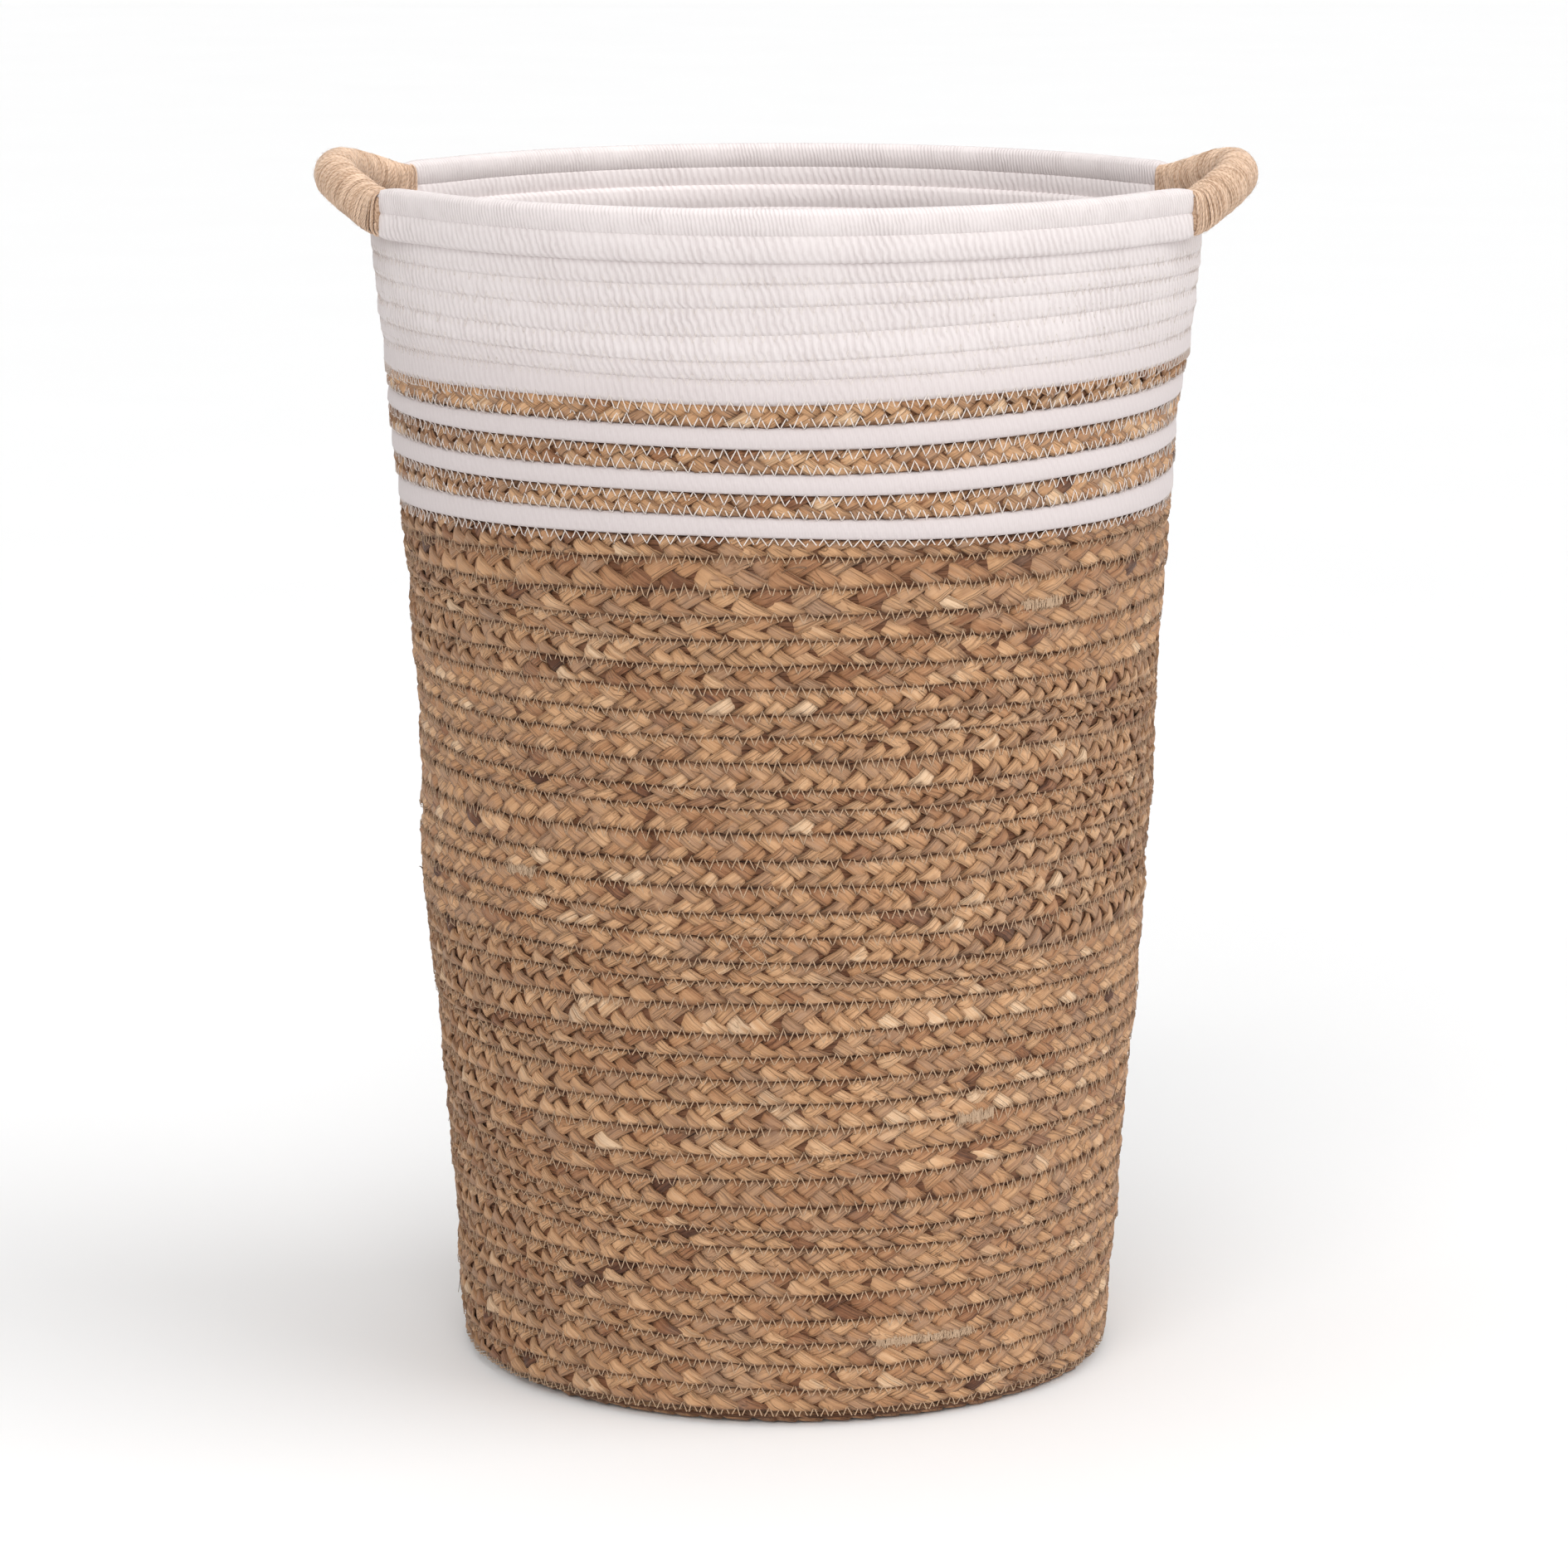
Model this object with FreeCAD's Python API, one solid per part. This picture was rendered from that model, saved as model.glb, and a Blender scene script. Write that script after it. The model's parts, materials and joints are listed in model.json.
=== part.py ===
import FreeCAD, Part
import math
import os

# A tall round laundry basket, coiled and sewn from plaited water hyacinth and cotton rope.
# Millimetres and degrees. Z is up, the floor is Z = 0 and the basket's axis is the Z axis.
# The two rope handles stand out along -X and +X.

# Outer radius of the wall at a few heights: a firm corner, a slight waist and a wide mouth.
WALL_OUTLINE = (
    (0.0, 157.0),
    (40.0, 161.0),
    (120.0, 167.5),
    (240.0, 175.5),
    (320.0, 178.0),
    (440.0, 188.0),
    (540.0, 197.0),
    (570.0, 200.3),
)

# The base is one plait wound flat from the middle outwards.
BASE_THICKNESS = 7.2
BASE_RADIUS = 157.5
BASE_EDGE_BULGE = 2.5

# Flat three-strand hyacinth plait, sewn edge to edge up the wall.
PLAIT_COURSES = 36
PLAIT_WIDTH = 11.52
PLAIT_THICKNESS = 8.0
PLAIT_FLAT = 4.0

# Cotton rope, round where it is free and pressed flat where two courses meet.
ROPE_HEIGHT = 10.3
ROPE_THICKNESS = 10.6
ROPE_FLAT = 5.0

# Three rope stripes and three plait stripes, turn about, between the plait wall and the rope top.
STRIPE_PAIRS = 3
STRIPE_ROPE_HEIGHT = 10.9
STRIPE_PLAIT_HEIGHT = 11.0

# Six whole rope courses, and above them two that leave the wall to make the handles.
TOP_ROPE_COURSES = 6
RIM_ROPE_COURSES = ("lower", "upper")
RIM_RADIUS = 195.0

# Handles. The rim ropes leave the circle at this angle from the X axis and swing outwards.
# Each handle's centre line is an arc in a plane that leans up and out.
ROPE_LEAVES_AT = 34.0
HANDLE_END_ANGLE = 42.5
HANDLE_TILT = 28.0
HANDLE_HALF_SPAN = 75.0
HANDLE_CLEARANCE = 0.3

# Section of a handle: two ropes, one over the other, inside a wrapping of jute twine.
CORE_ROPE_RADIUS = 4.4
CORE_ROPE_OFFSET = 4.6
WRAP_HALF_HEIGHT = 9.8
WRAP_HALF_WIDTH = 9.2

UP = FreeCAD.Vector(0, 0, 1)
ORIGIN = FreeCAD.Vector(0, 0, 0)


def outer_radius(height):
    """Outer radius of the wall at a height, on straight lines between the outline's points."""
    for (low, low_radius), (high, high_radius) in zip(WALL_OUTLINE, WALL_OUTLINE[1:]):
        if height <= high:
            share = (height - low) / (high - low)
            return low_radius + share * (high_radius - low_radius)
    return WALL_OUTLINE[-1][1]


def course_face(centre_x, bottom, height, thickness, flat):
    """Section of one course in the XZ plane: flat top and bottom, and two bulging sides."""
    middle = bottom + height / 2
    top = bottom + height

    def point(offset, z):
        return FreeCAD.Vector(centre_x + offset, 0, z)

    edges = [
        Part.LineSegment(point(-flat / 2, bottom), point(flat / 2, bottom)),
        Part.Arc(point(flat / 2, bottom), point(thickness / 2, middle), point(flat / 2, top)),
        Part.LineSegment(point(flat / 2, top), point(-flat / 2, top)),
        Part.Arc(point(-flat / 2, top), point(-thickness / 2, middle), point(-flat / 2, bottom)),
    ]
    return Part.Face(Part.Wire([edge.toShape() for edge in edges]))


def course_ring(bottom, height, thickness, flat):
    """One whole course round the wall."""
    centre = outer_radius(bottom + height / 2) - thickness / 2
    face = course_face(centre, bottom, height, thickness, flat)
    return face.revolve(ORIGIN, UP, 360)


def base_disc():
    """The wound base: a flat disc with a bulging edge."""
    inner = BASE_RADIUS - BASE_EDGE_BULGE

    def point(x, z):
        return FreeCAD.Vector(x, 0, z)

    corner_low = point(inner, 0)
    corner_high = point(inner, BASE_THICKNESS)
    edges = [
        Part.LineSegment(ORIGIN, corner_low),
        Part.Arc(corner_low, point(BASE_RADIUS, BASE_THICKNESS / 2), corner_high),
        Part.LineSegment(corner_high, point(0, BASE_THICKNESS)),
        Part.LineSegment(point(0, BASE_THICKNESS), ORIGIN),
    ]
    face = Part.Face(Part.Wire([edge.toShape() for edge in edges]))
    return face.revolve(ORIGIN, UP, 360)


def swing_out():
    """Radius of the rim rope's outward curve, and where it ends beside a handle.

    The rope runs along the rim's tangent at ROPE_LEAVES_AT, then turns outwards until it makes
    HANDLE_END_ANGLE with the Y axis at the handle's end.
    """
    leave = math.radians(ROPE_LEAVES_AT)
    end = math.radians(HANDLE_END_ANGLE)
    travel = RIM_RADIUS * math.sin(leave) - HANDLE_HALF_SPAN
    radius = travel / (math.sin(end) - math.sin(leave))
    end_x = RIM_RADIUS * math.cos(leave) + radius * (math.cos(leave) - math.cos(end))
    return radius, end_x


def rim_rope(bottom):
    """One rim rope across the front, from beside the left handle to beside the right one."""
    whole = course_face(RIM_RADIUS, bottom, ROPE_HEIGHT, ROPE_THICKNESS, ROPE_FLAT)
    sweep = 180 - 2 * ROPE_LEAVES_AT
    start = whole.rotate(ORIGIN, UP, ROPE_LEAVES_AT - 180)
    front = start.revolve(ORIGIN, UP, sweep)

    radius, _ = swing_out()
    spare = 6
    turn = HANDLE_END_ANGLE - ROPE_LEAVES_AT + spare
    pieces = [front]
    for side in (-1, 1):
        angle = -90 + side * (90 - ROPE_LEAVES_AT)
        section = course_face(RIM_RADIUS, bottom, ROPE_HEIGHT, ROPE_THICKNESS, ROPE_FLAT)
        section.rotate(ORIGIN, UP, angle)
        away = RIM_RADIUS + radius
        centre = FreeCAD.Vector(
            away * math.cos(math.radians(angle)), away * math.sin(math.radians(angle)), 0
        )
        pieces.append(section.revolve(centre, UP, -side * turn))

    joined = pieces[0].fuse(pieces[1:]).removeSplitter()
    reach = 3 * RIM_RADIUS
    room = Part.makeBox(
        reach,
        RIM_RADIUS,
        4 * ROPE_HEIGHT,
        FreeCAD.Vector(-reach / 2, -HANDLE_HALF_SPAN - HANDLE_CLEARANCE - RIM_RADIUS, bottom - ROPE_HEIGHT),
    )
    return joined.common(room)


def handle_frame(bottom_of_rim):
    """Radius of the handle's arc, and the placement that puts a level arc about Z into place."""
    end = math.radians(HANDLE_END_ANGLE)
    tilt = math.radians(HANDLE_TILT)
    radius = HANDLE_HALF_SPAN / math.sin(end)
    back = radius * math.cos(end)
    _, end_x = swing_out()
    end_z = bottom_of_rim + ROPE_HEIGHT
    centre = FreeCAD.Vector(end_x - back * math.cos(tilt), 0, end_z - back * math.sin(tilt))
    lean = FreeCAD.Rotation(FreeCAD.Vector(0, 1, 0), -HANDLE_TILT)
    return radius, FreeCAD.Placement(centre, lean)


def handle_arc(face):
    """Sweep a section that lies in the XZ plane round Z, and end it square to the Y axis."""
    spare = 12
    half_turn = HANDLE_END_ANGLE + spare
    start = face.copy()
    start.rotate(ORIGIN, UP, -half_turn)
    arc = start.revolve(ORIGIN, UP, 2 * half_turn)
    reach = 2 * RIM_RADIUS
    slab = Part.makeBox(
        reach,
        2 * HANDLE_HALF_SPAN,
        reach,
        FreeCAD.Vector(0, -HANDLE_HALF_SPAN, -reach / 2),
    )
    return arc.common(slab)


def round_wire(x, z, radius):
    circle = Part.Circle(FreeCAD.Vector(x, 0, z), FreeCAD.Vector(0, 1, 0), radius)
    return Part.Wire([circle.toShape()])


def wrap_face(radius):
    """Section of the wrapping: an oval outside, and a slot that holds the two ropes inside."""
    middle = FreeCAD.Vector(radius, 0, 0)
    highest = FreeCAD.Vector(radius, 0, WRAP_HALF_HEIGHT)
    widest = FreeCAD.Vector(radius + WRAP_HALF_WIDTH, 0, 0)
    outside = Part.Wire([Part.Ellipse(highest, widest, middle).toShape()])

    def point(side, height):
        return FreeCAD.Vector(radius + side * CORE_ROPE_RADIUS, 0, height)

    crown = CORE_ROPE_OFFSET + CORE_ROPE_RADIUS
    slot = [
        Part.LineSegment(point(1, -CORE_ROPE_OFFSET), point(1, CORE_ROPE_OFFSET)),
        Part.Arc(point(1, CORE_ROPE_OFFSET), point(0, crown), point(-1, CORE_ROPE_OFFSET)),
        Part.LineSegment(point(-1, CORE_ROPE_OFFSET), point(-1, -CORE_ROPE_OFFSET)),
        Part.Arc(point(-1, -CORE_ROPE_OFFSET), point(0, -crown), point(1, -CORE_ROPE_OFFSET)),
    ]
    inside = Part.Wire([edge.toShape() for edge in slot])
    return Part.Face(outside).cut(Part.Face(inside)).Faces[0]


def solid_of(shape):
    """The one closed solid that a course or handle piece must be."""
    solids = shape.Solids
    if len(solids) != 1 or not solids[0].isValid():
        raise ValueError("expected one valid solid, found %d" % len(solids))
    return solids[0]


def save(name, shape):
    """Write one sub-part, and print its volume and its box."""
    solid = solid_of(shape)
    solid.exportStep("parts/%s.step" % name)
    box = solid.optimalBoundingBox()
    print(
        "%-24s %9.1f mm3  X %7.1f %7.1f  Y %7.1f %7.1f  Z %6.1f %6.1f"
        % (name, solid.Volume, box.XMin, box.XMax, box.YMin, box.YMax, box.ZMin, box.ZMax)
    )


def build_wall():
    """Base, plait wall, stripes and whole rope courses. Returns the height that they reach."""
    save("base_braid", base_disc())
    height = BASE_THICKNESS
    for number in range(1, PLAIT_COURSES + 1):
        ring = course_ring(height, PLAIT_WIDTH, PLAIT_THICKNESS, PLAIT_FLAT)
        save("wall_braid_%02d" % number, ring)
        height += PLAIT_WIDTH
    for number in range(1, STRIPE_PAIRS + 1):
        rope = course_ring(height, STRIPE_ROPE_HEIGHT, ROPE_THICKNESS, ROPE_FLAT)
        save("stripe_rope_%d" % number, rope)
        height += STRIPE_ROPE_HEIGHT
        plait = course_ring(height, STRIPE_PLAIT_HEIGHT, PLAIT_THICKNESS, PLAIT_FLAT)
        save("stripe_braid_%d" % number, plait)
        height += STRIPE_PLAIT_HEIGHT
    for number in range(1, TOP_ROPE_COURSES + 1):
        save("top_rope_%d" % number, course_ring(height, ROPE_HEIGHT, ROPE_THICKNESS, ROPE_FLAT))
        height += ROPE_HEIGHT
    return height


def build_rim(bottom):
    """The two rim ropes, each in a front and a back length between the handles."""
    for row, name in enumerate(RIM_ROPE_COURSES):
        front = rim_rope(bottom + row * ROPE_HEIGHT)
        save("rim_rope_%s_front" % name, front)
        back = front.copy()
        back.rotate(ORIGIN, UP, 180)
        save("rim_rope_%s_back" % name, back)


def build_handles(bottom_of_rim):
    """Two core ropes and a wrapping for each handle."""
    radius, placement = handle_frame(bottom_of_rim)
    sections = {
        "wrap": wrap_face(radius),
        "rope_upper": Part.Face(round_wire(radius, CORE_ROPE_OFFSET, CORE_ROPE_RADIUS)),
        "rope_lower": Part.Face(round_wire(radius, -CORE_ROPE_OFFSET, CORE_ROPE_RADIUS)),
    }
    for name, face in sections.items():
        right = handle_arc(face)
        right.Placement = placement
        save("handle_right_%s" % name, right)
        left = right.copy()
        left.rotate(ORIGIN, UP, 180)
        save("handle_left_%s" % name, left)
    _, end_x = swing_out()
    end_z = bottom_of_rim + ROPE_HEIGHT
    print("handle hinge lines: X = +-%.2f, Z = %.2f" % (end_x, end_z))


def main():
    os.makedirs("parts", exist_ok=True)
    bottom_of_rim = build_wall()
    build_rim(bottom_of_rim)
    build_handles(bottom_of_rim)


main()
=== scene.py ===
import json
import math

import bpy
import numpy as np
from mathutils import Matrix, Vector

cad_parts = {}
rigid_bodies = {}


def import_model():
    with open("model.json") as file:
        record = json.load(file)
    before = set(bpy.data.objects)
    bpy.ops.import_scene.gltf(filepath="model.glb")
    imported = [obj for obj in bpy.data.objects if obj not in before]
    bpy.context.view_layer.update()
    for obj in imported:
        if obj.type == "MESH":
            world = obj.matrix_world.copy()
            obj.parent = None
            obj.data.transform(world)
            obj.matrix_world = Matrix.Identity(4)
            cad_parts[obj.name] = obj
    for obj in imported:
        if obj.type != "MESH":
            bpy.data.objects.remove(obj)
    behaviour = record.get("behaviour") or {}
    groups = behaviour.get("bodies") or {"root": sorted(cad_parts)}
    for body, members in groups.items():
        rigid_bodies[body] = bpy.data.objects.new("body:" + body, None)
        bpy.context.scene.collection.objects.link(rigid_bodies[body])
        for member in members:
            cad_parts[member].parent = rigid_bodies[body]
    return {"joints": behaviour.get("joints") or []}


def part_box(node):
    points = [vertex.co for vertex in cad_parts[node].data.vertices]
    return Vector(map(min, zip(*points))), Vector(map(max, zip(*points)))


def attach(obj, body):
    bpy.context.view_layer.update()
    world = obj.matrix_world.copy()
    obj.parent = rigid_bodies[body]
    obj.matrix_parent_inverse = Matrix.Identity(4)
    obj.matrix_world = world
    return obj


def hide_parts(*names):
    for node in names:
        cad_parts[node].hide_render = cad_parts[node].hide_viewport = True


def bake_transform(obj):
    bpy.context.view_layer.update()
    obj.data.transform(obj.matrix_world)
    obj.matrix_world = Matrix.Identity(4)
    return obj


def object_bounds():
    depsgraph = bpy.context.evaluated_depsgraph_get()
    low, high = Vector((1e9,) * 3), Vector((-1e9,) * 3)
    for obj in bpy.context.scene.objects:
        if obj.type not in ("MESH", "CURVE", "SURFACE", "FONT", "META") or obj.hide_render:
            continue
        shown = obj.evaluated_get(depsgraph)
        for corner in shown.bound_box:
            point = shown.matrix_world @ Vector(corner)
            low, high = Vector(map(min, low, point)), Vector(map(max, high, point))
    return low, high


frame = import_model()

bl_info = {
    "name": "Coiled laundry basket",
    "version": (1, 0, 0),
    "blender": (4, 5, 0),
    "location": "View3D > Sidebar > Basket",
    "description": "Plaits, ropes, stitching and wrapped handles built round the basket's frame",
    "category": "Add Mesh",
}

CAD_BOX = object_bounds()
TURN = 2 * math.pi
WALL_COURSES = 36
STRIPES = 3
TOP_ROPES = 6
SIDES = {"left": -1, "right": 1}
BODY = "basket"
UP = np.array([0.0, 0.0, 1.0])
# Points nearer than this are one point of a mesh.
WELD = 1e-7


# ---------------------------------------------------------------- settings


class PlaitSettings(bpy.types.PropertyGroup):
    """The three-strand plait of water hyacinth."""

    period: bpy.props.FloatProperty(
        name="Period", description="Length of plait in which a strand comes back to the same edge",
        default=0.0345, min=0.01, unit="LENGTH")
    thickness: bpy.props.FloatProperty(
        name="Thickness", description="Thickness of the wall's plait, front to back",
        default=0.008, min=0.002, unit="LENGTH")
    cover: bpy.props.FloatProperty(
        name="Cover", description="Width of a strand along the plait, as a share of a third of the period",
        default=1.12, min=0.5, max=2.0)
    strand_thickness: bpy.props.FloatProperty(
        name="Strand thickness", description="Thickness of one flattened strand",
        default=0.0022, min=0.0005, unit="LENGTH")
    shingle: bpy.props.FloatProperty(
        name="Shingle", description="How far a leaf's leading side stands out, per metre of leaf",
        default=0.09, min=0.0, max=0.5)
    sharpness: bpy.props.FloatProperty(
        name="Sharpness", description="How straight a strand runs from edge to edge: 0 is a sine, 1 a zigzag",
        default=0.80, min=0.1, max=0.999)
    unevenness: bpy.props.FloatProperty(
        name="Unevenness", description="How much strands differ in width, place and length of leaf",
        default=0.19, min=0.0, max=1.0, subtype="FACTOR")
    steps: bpy.props.IntProperty(
        name="Steps", description="Cross sections along one period of a strand", default=12, min=6)
    points: bpy.props.IntProperty(
        name="Points", description="Points round one cross section of a strand", default=8, min=6)
    frayed_ends: bpy.props.IntProperty(
        name="Frayed ends", description="Torn ends of leaf that lift off the wall", default=110, min=1)


class RopeSettings(bpy.types.PropertyGroup):
    """The braided cotton rope."""

    thickness: bpy.props.FloatProperty(
        name="Thickness", description="Thickness of the rope, front to back",
        default=0.0106, min=0.002, unit="LENGTH")
    height: bpy.props.FloatProperty(
        name="Height", description="Height of a rope course in the rim",
        default=0.0103, min=0.002, unit="LENGTH")
    rib_pitch: bpy.props.FloatProperty(
        name="Rib pitch", description="Distance between the ribs of the braid",
        default=0.0037, min=0.001, unit="LENGTH")
    rib_depth: bpy.props.FloatProperty(
        name="Rib depth", description="Depth of the grooves between ribs",
        default=0.00009, min=0.0, unit="LENGTH")
    rim_radius: bpy.props.FloatProperty(
        name="Rim radius", description="Radius of the rim ropes' centre line",
        default=0.195, min=0.05, unit="LENGTH")
    leaves_at: bpy.props.FloatProperty(
        name="Leaves at", description="Angle from the handle's axis at which the rim ropes leave the circle",
        default=math.radians(34), subtype="ANGLE")


class ThreadSettings(bpy.types.PropertyGroup):
    """The zigzag sewing thread over the seams."""

    pitch: bpy.props.FloatProperty(
        name="Pitch", description="Length of one zigzag on the plait wall",
        default=0.0053, min=0.001, unit="LENGTH")
    white_radius: bpy.props.FloatProperty(
        name="White radius", description="Radius of the white thread beside a rope",
        default=0.00029, min=0.00005, unit="LENGTH")
    white_pitch: bpy.props.FloatProperty(
        name="White pitch", description="Length of one zigzag of the white thread beside a rope",
        default=0.0056, min=0.001, unit="LENGTH")
    above: bpy.props.FloatProperty(
        name="Above", description="How far a stitch reaches above its seam",
        default=0.0024, min=0.0, unit="LENGTH")
    below: bpy.props.FloatProperty(
        name="Below", description="How far a stitch reaches below its seam",
        default=0.0036, min=0.0, unit="LENGTH")
    reach: bpy.props.FloatProperty(
        name="Reach", description="How far white thread reaches from a rope on to the plait",
        default=0.0050, min=0.0, unit="LENGTH")
    radius: bpy.props.FloatProperty(
        name="Radius", description="Radius of the thread", default=0.00027, min=0.00005, unit="LENGTH")


class HandleSettings(bpy.types.PropertyGroup):
    """The two rope handles and their jute twine."""

    end_angle: bpy.props.FloatProperty(
        name="End angle", description="Angle that a handle's end makes with the hinge line",
        default=math.radians(42.5), subtype="ANGLE")
    tilt: bpy.props.FloatProperty(
        name="Tilt", description="How far a handle's plane leans up from level",
        default=math.radians(28), subtype="ANGLE")
    half_height: bpy.props.FloatProperty(
        name="Half height", description="Half the height of a wrapped handle's oval section",
        default=0.0098, min=0.002, unit="LENGTH")
    half_width: bpy.props.FloatProperty(
        name="Half width", description="Half the width of a wrapped handle's oval section",
        default=0.0092, min=0.002, unit="LENGTH")
    yarn_radius: bpy.props.FloatProperty(
        name="Yarn radius", description="Radius of one yarn of the twine",
        default=0.00062, min=0.0001, unit="LENGTH")
    yarn_pitch: bpy.props.FloatProperty(
        name="Yarn pitch", description="Distance between one turn of yarn and the next",
        default=0.00113, min=0.0002, unit="LENGTH")
    loose_fibres: bpy.props.IntProperty(
        name="Loose fibres", description="Stray fibres that stand off one handle", default=480, min=0)


class FinishSettings(bpy.types.PropertyGroup):
    """Colours, as linear red, green and blue."""

    cotton: bpy.props.FloatVectorProperty(
        name="Cotton", description="Colour of the cotton rope", subtype="COLOR", size=3,
        default=(0.68, 0.625, 0.617), min=0, max=1)
    white_thread: bpy.props.FloatVectorProperty(
        name="White thread", description="Colour of the thread beside the ropes", subtype="COLOR", size=3,
        default=(0.74, 0.665, 0.615), min=0, max=1)
    beige_thread: bpy.props.FloatVectorProperty(
        name="Beige thread", description="Colour of the thread on the plait wall", subtype="COLOR", size=3,
        default=(0.48, 0.33, 0.215), min=0, max=1)
    # Jute, light and dark: the fibres' own lighter and darker colours, and also a painted highlight on each
    # ply and painted shade where the plies meet.
    jute_light: bpy.props.FloatVectorProperty(
        name="Jute, light", description="Colour of the lightest jute fibres", subtype="COLOR", size=3,
        default=(0.71, 0.51, 0.37), min=0, max=1)
    jute_dark: bpy.props.FloatVectorProperty(
        name="Jute, dark", description="Colour between the jute fibres", subtype="COLOR", size=3,
        default=(0.32, 0.185, 0.105), min=0, max=1)
    # Painted shade: the colour mixed in where a leaf dives under its neighbour, towards the seams and on the
    # core between strands.
    painted_shade_colour: bpy.props.FloatVectorProperty(
        name="Crease", description="Colour in the creases of the hyacinth", subtype="COLOR", size=3,
        default=(0.11, 0.040, 0.014), min=0, max=1)


class StageSettings(bpy.types.PropertyGroup):
    """Floor, lights and camera."""

    distance: bpy.props.FloatProperty(
        name="Distance", description="Level distance from the basket's axis to the camera",
        default=2.7156, min=0.5, unit="LENGTH")
    height: bpy.props.FloatProperty(
        name="Height", description="Height of the camera above the floor",
        default=0.789, min=0.0, unit="LENGTH")
    pitch: bpy.props.FloatProperty(
        name="Pitch", description="How far the camera looks down",
        default=math.radians(10.69), subtype="ANGLE")
    lens: bpy.props.FloatProperty(
        name="Lens", description="Focal length of the camera, in millimetres", default=130.74, min=10)
    sky: bpy.props.FloatProperty(
        name="Sky", description="Strength of the light from all round", default=0.52, min=0)
    sky_side: bpy.props.FloatProperty(
        name="Sky side", description="How much stronger the light is from the right than from the left",
        default=0.1, min=-1, max=1)
    overhead: bpy.props.FloatProperty(
        name="Overhead", description="Strength of the broad light above", default=0.45, min=0)
    box: bpy.props.FloatProperty(
        name="Box", description="Power of the softbox over the opening, in watts", default=2.0, min=0)
    key: bpy.props.FloatProperty(
        name="Key", description="Strength of the soft light from the front and above", default=1.54, min=0)
    side: bpy.props.FloatProperty(
        name="Side", description="Strength of the soft light from the right", default=1.3, min=0)


SETTINGS = {
    "basket_plait": PlaitSettings,
    "basket_rope": RopeSettings,
    "basket_thread": ThreadSettings,
    "basket_handle": HandleSettings,
    "basket_finish": FinishSettings,
    "basket_stage": StageSettings,
}


# ---------------------------------------------------------------- meshes


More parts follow.
